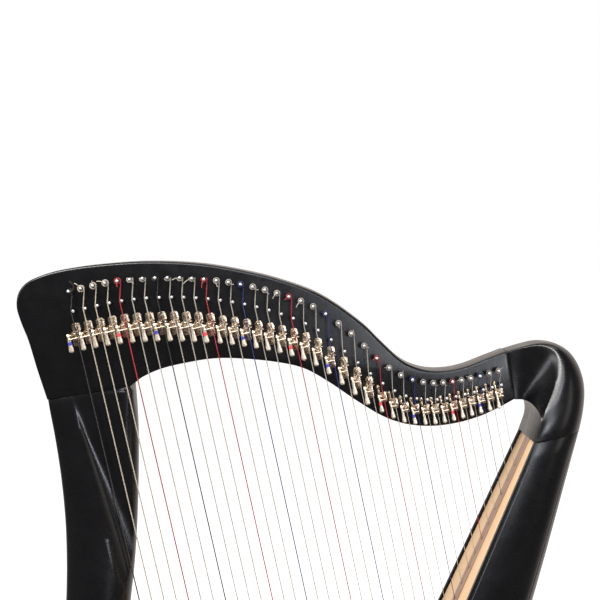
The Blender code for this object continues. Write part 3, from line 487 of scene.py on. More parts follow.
BOARD_TURN = (0.0, -math.atan(BOARD_SLOPE), 0.0)
LACQUER = black_lacquer()
SPRUCE = straight_grain("soundboard_spruce", "#E0BD94", "#D0A578", "#DAB389", BOARD_TURN, 0.42, 420.0)
WALNUT = straight_grain("walnut_string_rib", "#9B7A63", "#6F4F3E", "#86664F", BOARD_TURN, 0.4, 300.0)
BARE_WOOD = straight_grain("unfinished_poplar", "#C7A27A", "#A98259", "#BC966B", (0, 0, 0), 0.7, 200.0)
NICKEL = plated_metal("satin_nickel", "#E3D0B6", "#F6EBDA", 0.42)
# The brackets' mottle is partly plating wear and partly painted reflection and highlight.
BRACKET_NICKEL = tumbled_nickel()
PIN_STEEL = plated_metal("bright_pin_steel", "#F0F0EF", "#FCFBF8", 0.52)
# The pin shafts are dark partly as blued steel and partly as painted shadow, standing in for the shade that
# the coil and the pin's head cast on them.
BLUED_STEEL_AND_PAINTED_SHADOW = plated_metal("blued_pin_steel", "#26272A", "#34353A", 0.4)
BOLT_STEEL = plated_metal("zinc_plated_bolt", "#A9ABAD", "#C2C4C6", 0.34)
NYLON = monofilament("undyed_nylon", "#C9C0B4", "#B4AB9F")
RED_NYLON = monofilament("red_nylon", "#C43A46", "#A92B36")
BLUE_NYLON = monofilament("blue_nylon", "#3E4388", "#2C3070")
# The second colour of each wound string is painted shade in the grooves between the turns.
DARK_WIRE = wound_string("dark_wound_wire", "#4A4644", "#1E1C1C")
PALE_WIRE = wound_string("pale_wound_wire", "#D9CBB8", "#8F8373")
RED_SLEEVE = moulded_sleeve("red_sleeve", "#E0474A", "#C8363D")
BLUE_SLEEVE = moulded_sleeve("blue_sleeve", "#4347A8", "#30338A")
RUBBER = black_rubber()


# Modelling

def to_object_mode():
    if bpy.context.mode != "OBJECT":
        bpy.ops.object.mode_set(mode="OBJECT")


def start(name, adder, **settings):
    """Adds a primitive with nothing else selected, and names it."""
    to_object_mode()
    bpy.ops.object.select_all(action="DESELECT")
    adder(**settings)
    piece = bpy.context.object
    piece.name = name
    return piece


def placed(name, data):
    """A new object in the scene with this mesh, curve, camera or lamp."""
    made = bpy.data.objects.new(name, data)
    bpy.context.scene.collection.objects.link(made)
    return made


def select_edges(piece, chosen):
    """Goes into edit mode with only the chosen edges selected."""
    bpy.ops.object.mode_set(mode="EDIT")
    bpy.ops.mesh.select_mode(type="EDGE")
    bpy.ops.mesh.select_all(action="DESELECT")
    bpy.ops.object.mode_set(mode="OBJECT")
    for edge in piece.data.edges:
        edge.select = chosen(edge)
    bpy.ops.object.mode_set(mode="EDIT")


def pick(*pieces):
    """Selects these objects alone, the last one active."""
    to_object_mode()
    bpy.ops.object.select_all(action="DESELECT")
    for piece in pieces:
        piece.select_set(True)
    bpy.context.view_layer.objects.active = pieces[-1]


def edit_all():
    """Goes into edit mode with everything selected."""
    bpy.ops.object.mode_set(mode="EDIT")
    bpy.ops.mesh.select_all(action="SELECT")


def face_outwards():
    """Turns every face outwards and leaves edit mode."""
    bpy.ops.mesh.select_all(action="SELECT")
    bpy.ops.mesh.normals_make_consistent(inside=False)
    bpy.ops.object.mode_set(mode="OBJECT")


def apply_modifier(piece, kind, **settings):
    pick(piece)
    modifier = piece.modifiers.new(kind.title(), kind)
    for key, value in settings.items():
        setattr(modifier, key, value)
    bpy.ops.object.modifier_apply(modifier=modifier.name)


def round_edges(piece, width, segments=2, angle_deg=40):
    apply_modifier(piece, "BEVEL", width=width * MM, segments=segments, limit_method="ANGLE",
                   angle_limit=math.radians(angle_deg), use_clamp_overlap=True)


def cut_away(piece, cutter):
    """Takes the cutter's shape out of a piece, and the cutter out of the scene."""
    apply_modifier(piece, "BOOLEAN", operation="DIFFERENCE", object=cutter)
    bpy.data.objects.remove(cutter)


def ease_sharp_edges(piece, width, angle_deg, is_eased):
    """Bevels the edges that are sharper than an angle and whose middle passes the test."""
    select_edges(piece, lambda edge: False)
    bpy.ops.mesh.edges_select_sharp(sharpness=math.radians(angle_deg))
    bpy.ops.object.mode_set(mode="OBJECT")
    corners = piece.data.vertices
    for edge in piece.data.edges:
        if edge.select and not is_eased((corners[edge.vertices[0]].co + corners[edge.vertices[1]].co) / 2):
            edge.select = False
    bpy.ops.object.mode_set(mode="EDIT")
    bpy.ops.mesh.bevel(offset=width * MM, segments=2, affect="EDGES", clamp_overlap=True)
    bpy.ops.object.mode_set(mode="OBJECT")


def shade(piece, material, angle_deg=35):
    pick(piece)
    piece.data.materials.clear()
    piece.data.materials.append(material)
    bpy.ops.object.shade_smooth_by_angle(angle=math.radians(angle_deg))


def keep_inside(piece, node):
    """Draws the piece in by the hair's breadth that its finer curves stand out of its CAD node's box."""
    low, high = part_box(node)
    for vertex in piece.data.vertices:
        for axis in range(3):
            vertex.co[axis] = min(max(vertex.co[axis], low[axis]), high[axis])


def settle(piece, node, body=FRAME_BODY):
    """Applies the piece's place, draws it inside its CAD node's box, puts it on its body, and hides the CAD
    node that it stands for.
    """
    pick(piece)
    bpy.ops.object.transform_apply(location=True, rotation=True, scale=True)
    keep_inside(piece, node)
    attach(piece, body)
    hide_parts(node)


def complete(piece, material, angle_deg, node):
    """Shades a finished piece of the frame and settles it."""
    shade(piece, material, angle_deg)
    settle(piece, node)


def drop(masters):
    for master in masters:
        bpy.data.objects.remove(master)


def loft(name, rings):
    """A skin over closed rings of points: a grid laid on the rings, its seam joined and its ends filled."""
    columns = len(rings[0])
    piece = start(
        name, bpy.ops.mesh.primitive_grid_add, x_subdivisions=columns, y_subdivisions=len(rings) - 1)
    for index, vertex in enumerate(piece.data.vertices):
        row, column = divmod(index, columns + 1)
        vertex.co = rings[row][column % columns]
    edit_all()
    bpy.ops.mesh.remove_doubles(threshold=1e-6)
    bpy.ops.mesh.fill_holes(sides=0)
    face_outwards()
    return piece


def board(name, outline, thickness, direction):
    """A flat board: a filled outline, drawn out by its thickness along a direction."""
    piece = start(name, bpy.ops.mesh.primitive_circle_add, vertices=len(outline), fill_type="NGON")
    for vertex, point in zip(piece.data.vertices, outline):
        vertex.co = point
    edit_all()
    drawn = Vector(direction) * thickness * MM
    bpy.ops.mesh.extrude_region_move(TRANSFORM_OT_translate={"value": drawn})
    face_outwards()
    return piece


def turned(name, profile, sides):
    """A turned piece along local -Y: a disc drawn out and scaled from each (reach, radius) to the next."""
    reach, radius = profile[0]
    piece = start(name, bpy.ops.mesh.primitive_circle_add, vertices=sides, radius=radius * MM,
                  fill_type="NGON", rotation=(math.pi / 2, 0, 0), location=(0, -reach * MM, 0))
    bpy.ops.object.transform_apply(location=True, rotation=True, scale=True)
    edit_all()
    for following, size in profile[1:]:
        step = (0, (reach - following) * MM, 0)
        bpy.ops.mesh.extrude_region_move(TRANSFORM_OT_translate={"value": step})
        grow = size / radius
        bpy.ops.transform.resize(value=(grow, 1, grow), center_override=(0, -following * MM, 0))
        reach, radius = following, size
    face_outwards()
    return piece


def tube(name, points, radius, sides_quarter=2):
    """A string or wire as a bevelled curve through points, made a mesh."""
    curve = bpy.data.curves.new(name, "CURVE")
    curve.dimensions = "3D"
    curve.bevel_depth = radius * MM
    curve.bevel_resolution = sides_quarter
    curve.use_fill_caps = True
    line = curve.splines.new("POLY")
    line.points.add(len(points) - 1)
    for place, point in zip(line.points, points):
        place.co = (*point, 1.0)
    pick(placed(name, curve))
    bpy.ops.object.convert(target="MESH")
    return bpy.context.object


def join(name, pieces):
    pick(*pieces)
    bpy.ops.object.join()
    joined = bpy.context.object
    joined.name = name
    return joined


def copy_of(master, name, place):
    """A copy with its own mesh, moved into place."""
    made = placed(name, master.data.copy())
    made.data.transform(place)
    return made


def finer_copy(node, name, material, rounding):
    """A copy of a CAD node with its loose triangles merged and its edges eased."""
    made = placed(name, frame["nodes"][node].data.copy())
    pick(made)
    edit_all()
    bpy.ops.mesh.remove_doubles(threshold=1e-5)
    bpy.ops.mesh.dissolve_limited(angle_limit=math.radians(0.5))
    bpy.ops.object.mode_set(mode="OBJECT")
    if rounding:
        round_edges(made, rounding, 2, 30)
    complete(made, material, 35, node)


# Strings

def string_radius(number):
    return BASS_STRING_R + (TREBLE_STRING_R - BASS_STRING_R) * (number - 1) / (STRINGS - 1)


def string_slope(number):
    return FIRST_SLOPE + SLOPE_STEP * (number - 1)


def bridge_bend(number):
    x, z = smooth_values(BRIDGE_PINS, number)
    return x - BRIDGE_PIN_R - string_radius(number) - GAP, z


def board_front_x(z):
    return BOARD_X + BOARD_SLOPE * (z - BOARD_Z)


def board_back():
    """The direction straight back through the soundboard."""
    length = math.hypot(BOARD_SLOPE, 1.0)
    return 1.0 / length, -BOARD_SLOPE / length


def string_foot(number):
    x, z = bridge_bend(number)
    slope = string_slope(number)
    foot_z = (x + slope * z - BOARD_X + BOARD_SLOPE * BOARD_Z) / (BOARD_SLOPE + slope)
    return board_front_x(foot_z), foot_z


def string_points(number):
    """From the knot behind the board, up past the bridge pin, and round the tuning pin to the cut end."""
    radius = string_radius(number)
    slope = string_slope(number)
    foot_x, foot_z = string_foot(number)
    back = board_back()
    depth = RIB_HEIGHT + BOARD_THICKNESS + INNER_RIB_THICKNESS + STRING_TAIL
    pin_x, pin_z = smooth_values(TUNING_PINS, number)
    bend_x, bend_z = bridge_bend(number)
    arm = TUNING_PIN_R - COIL_BITE + radius
    leaving_x = pin_x + arm
    points = [
        at(foot_x + back[0] * depth, 0, foot_z + back[1] * depth),
        at(foot_x, 0, foot_z),
        at(foot_x - BOARD_EASE * slope, 0, foot_z + BOARD_EASE),
        at(bend_x + BEND_EASE * slope, 0, bend_z - BEND_EASE),
        at(bend_x, 0, bend_z),
        at(bend_x + (leaving_x - bend_x) * LEAVING_SHARE, 0, bend_z + (pin_z - bend_z) * LEAVING_SHARE),
    ]
    for step in range(int(COIL_TURNS * COIL_STEPS) + 1):
        angle = 2 * math.pi * step / COIL_STEPS
        out = -(COIL_PITCH * radius) * angle / (2 * math.pi)
        points.append(at(pin_x + arm * math.cos(angle), out, pin_z + arm * math.sin(angle)))
    return points


def string_end(number):
    """The cut end that sticks out of the tuning pin's hole, or None."""
    if number == 1:
        path = [(degrees, reach, 0.0) for degrees, reach in FIRST_END]
    elif number in STRING_ENDS:
        degrees, length = STRING_ENDS[number]
        longer = TUNING_PIN_R + length - END_START
        path = [(degrees + END_SWING_DEG * share, END_START + longer * share, END_RISE * share)
                for share in spread(0.0, 1.0, 6)]
    else:
        return None
    pin_x, pin_z = smooth_values(TUNING_PINS, number)
    out = -(COIL_PITCH * string_radius(number)) * COIL_TURNS - END_CLEAR
    points = []
    for degrees, reach, rise in path:
        angle = math.radians(degrees)
        points.append(at(pin_x + reach * math.cos(angle), out - rise, pin_z + reach * math.sin(angle)))
    return points


def string_finish(number):
    if number in DARK_STRINGS:
        return DARK_WIRE
    if number in RED_STRINGS:
        return RED_NYLON
    if number in BLUE_STRINGS:
        return BLUE_NYLON
    return PALE_WIRE if number <= WOUND_STRINGS else NYLON


def make_strings():
    for number in range(1, STRINGS + 1):
        radius = string_radius(number)
        runs = [tube(f"string_{number:02d}", string_points(number), radius)]
        end = string_end(number)
        if end:
            runs.append(tube("cut_end", end, radius * 0.9))
        string = join(f"string_{number:02d}", runs)
        complete(string, string_finish(number), 60, "string_set")


def string_knot(number, depth):
    """A few loops of string behind the rib, at this depth behind the soundboard's front."""
    back = board_back()
    x, z = string_foot(number)
    radius = string_radius(number)
    reach = (KNOT_R + 2.0 * radius) * 0.6
    loops = []
    for step in range(KNOT_POINTS):
        angle = 2 * math.pi * step / KNOT_STEPS
        lift = depth + 0.25 * step * radius
        along = reach * math.sin(angle)
        loops.append(at(x + back[0] * lift - back[1] * along, reach * math.cos(angle),
                        z + back[1] * lift + back[0] * along))
    return tube("knot", loops, radius, 1)


def make_anchor_rib():
    """The strip of wood behind the soundboard that the strings are knotted against, with their knots."""
    back = board_back()
    top = RIB_HEIGHT + BOARD_THICKNESS + 3 * GAP
    half = INNER_RIB_WIDTH / 2
    outline = []
    for z, y in ((RIB_TOP_Z, -half), (RIB_TOP_Z, half), (RIB_BOTTOM_Z, half), (RIB_BOTTOM_Z, -half)):
        outline.append(at(board_front_x(z) + back[0] * top, y, z + back[1] * top))
    rib = board("anchor_rib", outline, INNER_RIB_THICKNESS, (back[0], 0, back[1]))
    round_edges(rib, 0.8)
    complete(rib, BARE_WOOD, 35, "string_set")
    depth = top + INNER_RIB_THICKNESS + KNOT_R
    knots = join("string_knots", [string_knot(number, depth) for number in range(1, STRINGS + 1)])
    complete(knots, NYLON, 60, "string_set")


# Neck and its pins

def make_neck():
    top_edge = smooth_line(NECK_TOP_EDGE, 6)
    outline = top_edge + smooth_line(NECK_LOWER_EDGE, 6)
    near = [at(x, NECK_NEAR_Y, z) for x, z in outline]
    neck = board("neck_board", near, NECK_FAR_Y - NECK_NEAR_Y, (0, 1, 0))
    ends = (top_edge[0], top_edge[-1], outline[len(top_edge)], outline[-1])
    corners = [at(x, 0, z) for x, z in ends]

    def is_corner(vertex):
        return any(math.hypot(vertex.co.x - c.x, vertex.co.z - c.z) < 0.1 * MM for c in corners)

    def on_rim(edge):
        first, second = (neck.data.vertices[i] for i in edge.vertices)
        level = abs(first.co.y - second.co.y) < 0.1 * MM
        return level and not (is_corner(first) and is_corner(second))

    select_edges(neck, on_rim)
    bpy.ops.mesh.bevel(offset=NECK_EDGE * MM, segments=5, affect="EDGES")
    bpy.ops.object.mode_set(mode="OBJECT")
    ease_sharp_edges(neck, 0.5, 60, lambda middle: middle.x < 0)
    complete(neck, LACQUER, 30, "neck")


def make_pins():
    collar = turned("collar", TUNING_COLLAR, 20)
    square = turned("square", TUNING_SQUARE, 4)
    square.data.transform(Matrix.Rotation(math.pi / 4, 4, "Y"))
    round_edges(square, 0.35)
    near = turned("near", TUNING_NEAR, 20)
    tip = turned("tip", TUNING_TIP, 20)
    shaft = turned("shaft", BRIDGE_SHAFT, 18)
    head = turned("head", BRIDGE_HEAD, 18)
    for part in (collar, square, tip, head):
        shade(part, PIN_STEEL, 40)
    # The shafts take the dark steel, which is partly painted shadow of the coil and head.
    for part in (near, shaft):
        shade(part, BLUED_STEEL_AND_PAINTED_SHADOW, 40)
    tuning = join("tuning_pin_master", [collar, square, near, tip])
    bridge = join("bridge_pin_master", [shaft, head])
    for number in range(1, STRINGS + 1):
        for master, kind, places in (
            (tuning, "tuning_pin", TUNING_PINS),
            (bridge, "bridge_pin", BRIDGE_PINS),
        ):
            x, z = smooth_values(places, number)
            pin = copy_of(master, f"{kind}_{number:02d}", Matrix.Translation(at(x, NECK_NEAR_Y, z)))
            settle(pin, "neck")
    drop((tuning, bridge))


# Pillar and shoulder

def cut_ridge_x(z):
    return CUT_START_X + (CUT_START_Z - z) * CUT_SLOPE


def crossing(first, last, height):
    """Where a function that is below 0 just after `first` and above 0 at `last` crosses 0."""
    for _ in range(40):
        middle = (first + last) / 2
        if height(middle) < 0:
            first = middle
        else:
            last = middle
    return last


def pillar_ring(z, round_steps=16, cut_steps=18, edge_steps=6, far_steps=28):
    left, right = smooth_values(PILLAR_SIDES, z)
    near_y = smooth_value(PILLAR_NEAR_Y, z)
    far_y = smooth_value(PILLAR_FAR_Y, z)
    power = smooth_value(PILLAR_ROUNDNESS, z)
    seam_left, seam_right = NECK_TOP_EDGE[0], NECK_LOWER_EDGE[-1]
    seam_tilt = (seam_right[1] - seam_left[1]) / (seam_right[0] - seam_left[0])
    tilt = seam_tilt * max(0.0, (z - PILLAR_TILT_ENDS_Z) / (PILLAR_SIDES[-1][0] - PILLAR_TILT_ENDS_Z))
    middle = (left + right) / 2
    half = (right - left) / 2
    centre_y = (near_y + far_y) / 2
    half_y = (far_y - near_y) / 2
    ridge = min(cut_ridge_x(z), right - CUT_RIDGE_INSET)

    def round_y(x):
        share = min(abs(x - middle) / half, 1.0)
        return centre_y - half_y * (1.0 - share**power) ** (1.0 / power)

    depth = max(NECK_NEAR_Y - round_y(ridge), 0.0)
    cove = max(CUT_COVE_LEAST, CUT_COVE_SPREAD * depth)

    def cut_y(x):
        return NECK_NEAR_Y - depth * max(0.0, 1.0 - (x - ridge) / cove) ** 2

    least = ridge + CUT_LEAST_SHARE * (right - ridge)
    meeting = crossing(least, right, lambda x: round_y(x) - cut_y(x))
    ring = []
    for i in range(round_steps + 1):
        x = left + (ridge - left) * (1.0 - math.cos(math.pi / 2 * i / round_steps))
        ring.append((x, round_y(x)))
    for i in range(1, cut_steps + 1):
        x = ridge + (meeting - ridge) * (i / cut_steps) ** CUT_CROWDING
        ring.append((x, max(round_y(x), cut_y(x))))
    for i in range(1, edge_steps + 1):
        x = meeting + (right - meeting) * math.sin(math.pi / 2 * i / edge_steps)
        ring.append((x, round_y(x)))
    for i in range(1, far_steps):
        angle = math.pi * i / far_steps
        across = math.copysign(abs(math.cos(angle)) ** (2.0 / power), math.cos(angle))
        ring.append((middle + half * across, centre_y + half_y * math.sin(angle) ** (2.0 / power)))
    return [at(x, y, z + tilt * (x - left)) for x, y in ring]


def make_pillar():
    places = spread(PILLAR_SIDES[-1][0], PILLAR_CLOSE_Z, 60) + spread(PILLAR_WIDE_Z, PILLAR_SIDES[0][0], 40)
    pillar = loft("pillar_column", [pillar_ring(z) for z in places])
    round_edges(pillar, 0.6, 2, 60)
    complete(pillar, LACQUER, 40, "pillar")


def rounded_quarter(degrees, power):
    """A rounded quarter from (0, 1) to (1, 0)."""
    angle = math.radians(degrees)
    rise = max(math.sin(angle), 0.0) ** (2.0 / power)
    fall = max(math.cos(angle), 0.0) ** (2.0 / power)
    return rise, fall


def shoulder_ring(row, flare_steps=9, round_steps=20):
    inner_x, inner_z, outer_x, outer_z, crest, inner_y, crest_y, outer_y, far_y, power = row
    profile = []
    for i in range(flare_steps):
        share = i / flare_steps
        profile.append((crest * share, inner_y + (crest_y - inner_y) * share**FLARE_POWER))
    for i in range(round_steps + 1):
        rise, fall = rounded_quarter(90.0 * i / round_steps, power)
        profile.append((crest + (1.0 - crest) * rise, outer_y + (crest_y - outer_y) * fall))
    for i in range(round_steps - 1, -1, -1):
        rise, fall = rounded_quarter(90.0 * i / round_steps, power)
        profile.append((rise, outer_y + (far_y - outer_y) * fall))
    ring = []
    for across, y in profile:
        ring.append(at(inner_x + (outer_x - inner_x) * across, y, inner_z + (outer_z - inner_z) * across))
    return ring


def make_shoulder():
    z = BOX_TOP_Z + GAP
    width, depth, tilt = box_sizes(z)
    face_x = board_front_x(z)
    inner = (face_x - RIM_PROUD, z - tilt * RIM_PROUD)
    outer = (face_x + depth, z + tilt * depth)
    last = (10, *inner, *outer, SHOULDER_CREST_END, -width, -width, 0.0, width, BOX_ROUNDNESS)
    rows = list(SHOULDER_SECTIONS) + [last]
    places = spread(0.0, last[0], SHOULDER_RINGS)
    shoulder = loft("shoulder_block", [shoulder_ring(smooth_values(rows, where)) for where in places])
    neck_side = at(NECK_SIDE_X, 0, 0).x
    ease_sharp_edges(shoulder, 0.7, 26, lambda middle: middle.x > neck_side)
    complete(shoulder, LACQUER, 30, "shoulder")


# Soundbox

def box_sizes(z):
    """Half-width, depth and tilt of the soundbox at this height."""
    tilt = BOX_TOP_TILT * max(0.0, (z - BOX_TILT_ENDS_Z) / (BOX_TOP_Z - BOX_TILT_ENDS_Z))
    return smooth_value(BOX_HALF_WIDTH, z), smooth_value(BOX_DEPTH, z), tilt


def box_point(z, depth, y):
    return at(board_front_x(z) + depth, y, z + box_sizes(z)[2] * depth)


def box_curve(z, inset, degrees):
    width, depth, _ = box_sizes(z)
    rise, fall = rounded_quarter(min(degrees, 180.0 - degrees), BOX_ROUNDNESS)
    side = (inset - width) * fall
    return (depth - inset + RIM_PROUD) * rise - RIM_PROUD, side if degrees <= 90.0 else -side


def rail_band(z, sign):
    """The flat strip along the front edge of a side, a hair lower than the side, and the arris beside it."""
    width = box_sizes(z)[0]
    low = sign * (width - RAIL_STEP)
    arris_end = (RAIL_BAND, sign * (width - RAIL_ARRIS_DROP))
    return [(-RIM_PROUD, low), (RAIL_BAND - RAIL_ARRIS, low), arris_end]


def shell_ring(z, angles):
    outer = [box_curve(z, 0.0, angle) for angle in angles]
    if angles[0] in (0.0, 180.0):
        band = rail_band(z, -1 if angles[0] == 0.0 else 1)
        rest = outer[len(band):]
        clear = RAIL_BAND + RAIL_CLEAR
        outer = band + [(max(depth, clear + RAIL_STAGGER * i), y) for i, (depth, y) in enumerate(rest)]
    inner = [box_curve(z, SHELL_THICKNESS, angle) for angle in reversed(angles)]
    return [box_point(z, depth, y) for depth, y in outer + inner]


def make_soundbox():
    for node, first, last in (
        ("soundbox_side_left", 0.0, BACK_SEAM_DEG - SEAM_DEG),
        ("soundbox_side_right", 180.0, 180.0 - BACK_SEAM_DEG + SEAM_DEG),
        ("soundbox_back", BACK_SEAM_DEG + SEAM_DEG, 180.0 - BACK_SEAM_DEG - SEAM_DEG),
    ):
        angles = spread(first, last, 30)
        piece = loft(f"{node}_shell", [shell_ring(z, angles) for z in spread(BOX_TOP_Z, BOX_BOTTOM_Z, 48)])
        if node == "soundbox_back":
            cut_sound_holes(piece)
        round_edges(piece, 0.6, 2, 55)
        complete(piece, LACQUER, 32, node)


def cut_sound_holes(back):
    for z, half_width, half_height in SOUND_HOLES:
        depth = box_sizes(z)[1]
        x = board_front_x(z) + HOLE_START * depth
        outline = [at(x, half_width * c, z + half_height * s) for c, s in round_steps(HOLE_STEPS)]
        cutter = board("sound_hole", outline, (1.0 - HOLE_START) * depth + 2 * SHELL_THICKNESS, (1, 0, 0))
        cut_away(back, cutter)


def make_board():
    finer_copy("soundboard", "soundboard_panel", SPRUCE, 0.0)
    finer_copy("outer_string_rib", "string_rib_strip", WALNUT, 0.0)
    finer_copy("edge_rail_left", "edge_rail_near", LACQUER, 0.7)
    finer_copy("edge_rail_right", "edge_rail_far", LACQUER, 0.7)
    for node in ("soundbox_hoop_1", "soundbox_hoop_2", "treble_end_block", "bass_end_block"):
        finer_copy(node, f"{node}_wood", BARE_WOOD, 0.8)


# Levers and brackets

def lever_size(number):
    return next(size for size in LEVER_SIZES if number <= size[1])


def local(across, along, out):
    return Vector((across * MM, -out * MM, -along * MM))


def paddle(name, stations, corner, sides=20):
    """A smooth bar through stations of (along, out, across, half-width, half-thickness)."""
    rings = []
    for along, out, across, half_width, half_thickness in stations:
        ring = []
        for c, s in round_steps(sides):
            side = math.copysign(abs(c) ** (2 / corner), c) * half_width
            lift = math.copysign(abs(s) ** (2 / corner), s) * half_thickness
            ring.append(local(across + side, along, out + lift))
        rings.append(ring)
    return loft(name, rings)


def cross_bar(name, first, last, along, out, radius, sides=16):
    """A round bar across the string, with eased ends."""
    ease = min(0.35, radius * 0.3)
    small = radius - ease
    rings = []
    for across, size in ((first, small), (first + ease, radius), (last - ease, radius), (last, small)):
        rings.append([local(across, along + size * c, out + size * s) for c, s in round_steps(sides)])
    return loft(name, rings)


def lever_handle(size, first_share, last_share, proud):
    """The handle, or a sleeve on it: the stretch between two shares of its length, so much proud of it."""
    narrow, wide = size.narrow, size.wide
    shape = (
        (0.0, narrow * 0.46), (0.15, narrow * 0.5), (0.35, narrow * 0.5), (0.55, narrow * 0.58),
        (0.75, wide * 0.49), (0.88, wide * 0.53), (0.95, wide * 0.46), (0.985, wide * 0.3),
        (1.0, wide * 0.08),
    )
    stations = []
    for share in spread(first_share, last_share, 26):
        beyond = max(share - HANDLE_TIP, 0.0) / (1.0 - HANDLE_TIP)
        thick = HANDLE_THICK * math.sqrt(max(1.0 - beyond**2, 0.04)) + proud
        half_width = smooth_value(shape, share) + proud
        stations.append((size.length * share, HANDLE_LEAN * share, size.middle, half_width, thick))
    return paddle("handle", stations, HANDLE_CORNER)


def make_lever_masters():
    """Each size of lever, and each size of sleeve, in the lever's own frame."""
    masters = {}
    angle = math.radians(ROD_ANGLE_DEG)
    rod_along, rod_out = ROD_ARM * math.cos(angle), ROD_ARM * math.sin(angle)
    for size in LEVER_SIZES:
        left, right = size.hub
        handle = lever_handle(size, 0.02, 1.0, 0.0)
        barrel = cross_bar("hub", left, right, 0.0, 0.0, HUB_R, 24)
        cap = cross_bar("axle_cap", left - 0.25, left + 0.4, 0.0, 0.0, CAP_R)
        across = right - ARM_HALF
        arm = paddle("rod_arm", [
            (ARM_START * math.cos(angle), ARM_START * math.sin(angle), across, ARM_HALF, 1.5),
            (rod_along, rod_out, across, ARM_HALF, 1.0),
            (rod_along + 0.5, rod_out + 0.7, across, 0.9, 0.4),
        ], 3.0, 16)
        rod = cross_bar("rod", right - 2.0, size.rod_end, rod_along, rod_out, ROD_R)
        nub = paddle("nub", [
            (-5.6, 1.2, size.middle, 0.5, 0.4), (-5.3, 1.2, size.middle, 1.1, 0.8),
            (-4.4, 1.1, size.middle, 1.35, 1.0), (-2.0, 0.6, size.middle, 1.2, 1.2),
            (-0.5, 0.2, size.middle, 1.2, 1.4),
        ], 2.2, 14)
        lever = join(f"{size.name}_lever_master", [handle, cap, arm, rod, nub, barrel])
        sleeve = lever_handle(size, *SLEEVE_SPAN, SLEEVE_PROUD)
        shade(lever, NICKEL)
        shade(sleeve, RED_SLEEVE)
        masters[size.name] = lever
        masters[size.name + "_sleeve"] = sleeve
    return masters


def lever_place(number):
    """Where a lever's own frame stands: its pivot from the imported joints, turned to follow its string."""
    joint = next(j for j in frame["record"]["behaviour"]["joints"] if j["child"] == f"lever_{number:02d}")
    turn = -math.atan(string_slope(number))
    return Matrix.Translation(joint["pos_m"]) @ Matrix.Rotation(turn, 4, "Y")


def make_levers():
    masters = make_lever_masters()
    for number in range(1, STRINGS + 1):
        name = lever_size(number).name
        node = f"lever_{number:02d}"
        place = lever_place(number)
        settle(copy_of(masters[name], f"{node}_nickel", place), node, node)
        finish = {5: RED_SLEEVE, 1: BLUE_SLEEVE}.get((number - 1) % 7 + 1)
        if finish:
            sleeve = copy_of(masters[name + "_sleeve"], f"{node}_sleeve", place)
            sleeve.data.materials[0] = finish
            settle(sleeve, node, node)
    drop(masters.values())


def plate(name, across, along, out, corner):
    """A small plate with rounded corners, cut from sheet."""
    centre_a, centre_s = (across[0] + across[1]) / 2, (along[0] + along[1]) / 2
    half_a, half_s = (across[1] - across[0]) / 2, (along[1] - along[0]) / 2
    outline = []
    for cx, cy, first in ((1, 1, 0), (-1, 1, 90), (-1, -1, 180), (1, -1, 270)):
        for step in range(7):
            angle = math.radians(first + 15 * step)
            a = centre_a + cx * (half_a - corner) + corner * math.cos(angle)
            s = centre_s + cy * (half_s - corner) + corner * math.sin(angle)
            outline.append(local(a, s, out[0]))
    piece = board(name, outline, out[1] - out[0], (0, -1, 0))
    round_edges(piece, 0.35, 2, 50)
    return piece


def screw(name, across, along, out, radius):
    """A round-headed screw with a crossed slot."""
    profile = ((out - 0.8, radius), (out, radius), (out + 0.5, radius * 0.86), (out + 0.85, radius * 0.55))
    head = turned(name, profile, 18)
    for span in ((radius * 0.62, 0.22), (0.22, radius * 0.62)):
        slot = start("slot", bpy.ops.mesh.primitive_cube_add, size=2 * MM)
        slot.scale = (span[0], 0.6, span[1])
        slot.location = (0, -(out + 1.0) * MM, 0)
        bpy.ops.object.transform_apply(location=True, rotation=True, scale=True)
        cut_away(head, slot)
    head.data.transform(Matrix.Translation((across * MM, 0, -along * MM)))
    return head


def ear_wall(ear):
    """The upright cheek that holds the lever's axle, round-topped."""
    outline = []
    for step in range(13):
        angle = math.radians(15 * step)
        outline.append(local(ear[0], 2.6 * math.cos(angle), 2.6 * math.sin(angle)))
    outline.append(local(ear[0], -2.9, PLATE_TOP))
    outline.append(local(ear[0], 2.9, PLATE_TOP))
    wall = board("ear", outline, ear[1] - ear[0], (1, 0, 0))
    round_edges(wall, 0.25, 2, 50)
    return wall


def treble_plates():
    """A screwed eye on a narrow waist, and a square plate beside the string."""
    thick = (PLATE_LOW, PLATE_TOP)
    return [
        plate("eye", (-7.0, -2.2), (-14.0, -8.8), (PLATE_LOW, PLATE_TOP + 0.4), 2.3),
        plate("waist", (-6.0, -3.1), (-10.0, -3.0), thick, 0.9),
        screw("eye_screw", -4.6, -11.4, PLATE_TOP + 0.5, 1.6),
        plate("square", (-4.2, 4.6), (-4.0, 9.0), thick, 1.2),
        plate("square_pad", (-2.4, 3.6), (-2.4, 7.4), (PLATE_TOP, PLATE_TOP + 0.9), 0.8),
        screw("square_screw", 2.4, 5.4, PLATE_TOP + 0.9, 1.1),
    ]


def folded_plates(size):
    """A rounded upper plate with a raised rim, a lower plate with a pad, and the fold between them."""
    left, right, end = size.upper
    thick = (PLATE_LOW, PLATE_TOP)
    rim = (PLATE_TOP, PLATE_TOP + 1.2)
    return [
        plate("upper", (left, right), (end, -2.6), thick, 3.2),
        plate("upper_rim", (left + 0.9, right - 0.9), (end + 0.9, -3.6), rim, 2.6),
        screw("upper_screw", (left + right) / 2, (end - 2.6) / 2 - 0.8, PLATE_TOP + 1.3, 2.1),
        plate("lower", (size.ear[0] - 0.2, 1.8), (-4.0, 14.2), thick, 1.6),
        plate("lower_pad", (-4.2, 1.6), (3.0, 13.4), (PLATE_TOP, PLATE_TOP + 1.0), 1.4),
        screw("lower_screw", -1.4, 10.4, PLATE_TOP + 1.1, 1.3),
        cross_bar("fold", left + 0.3, right + 0.2, -1.6, PLATE_TOP + 0.4, 0.95),
    ]


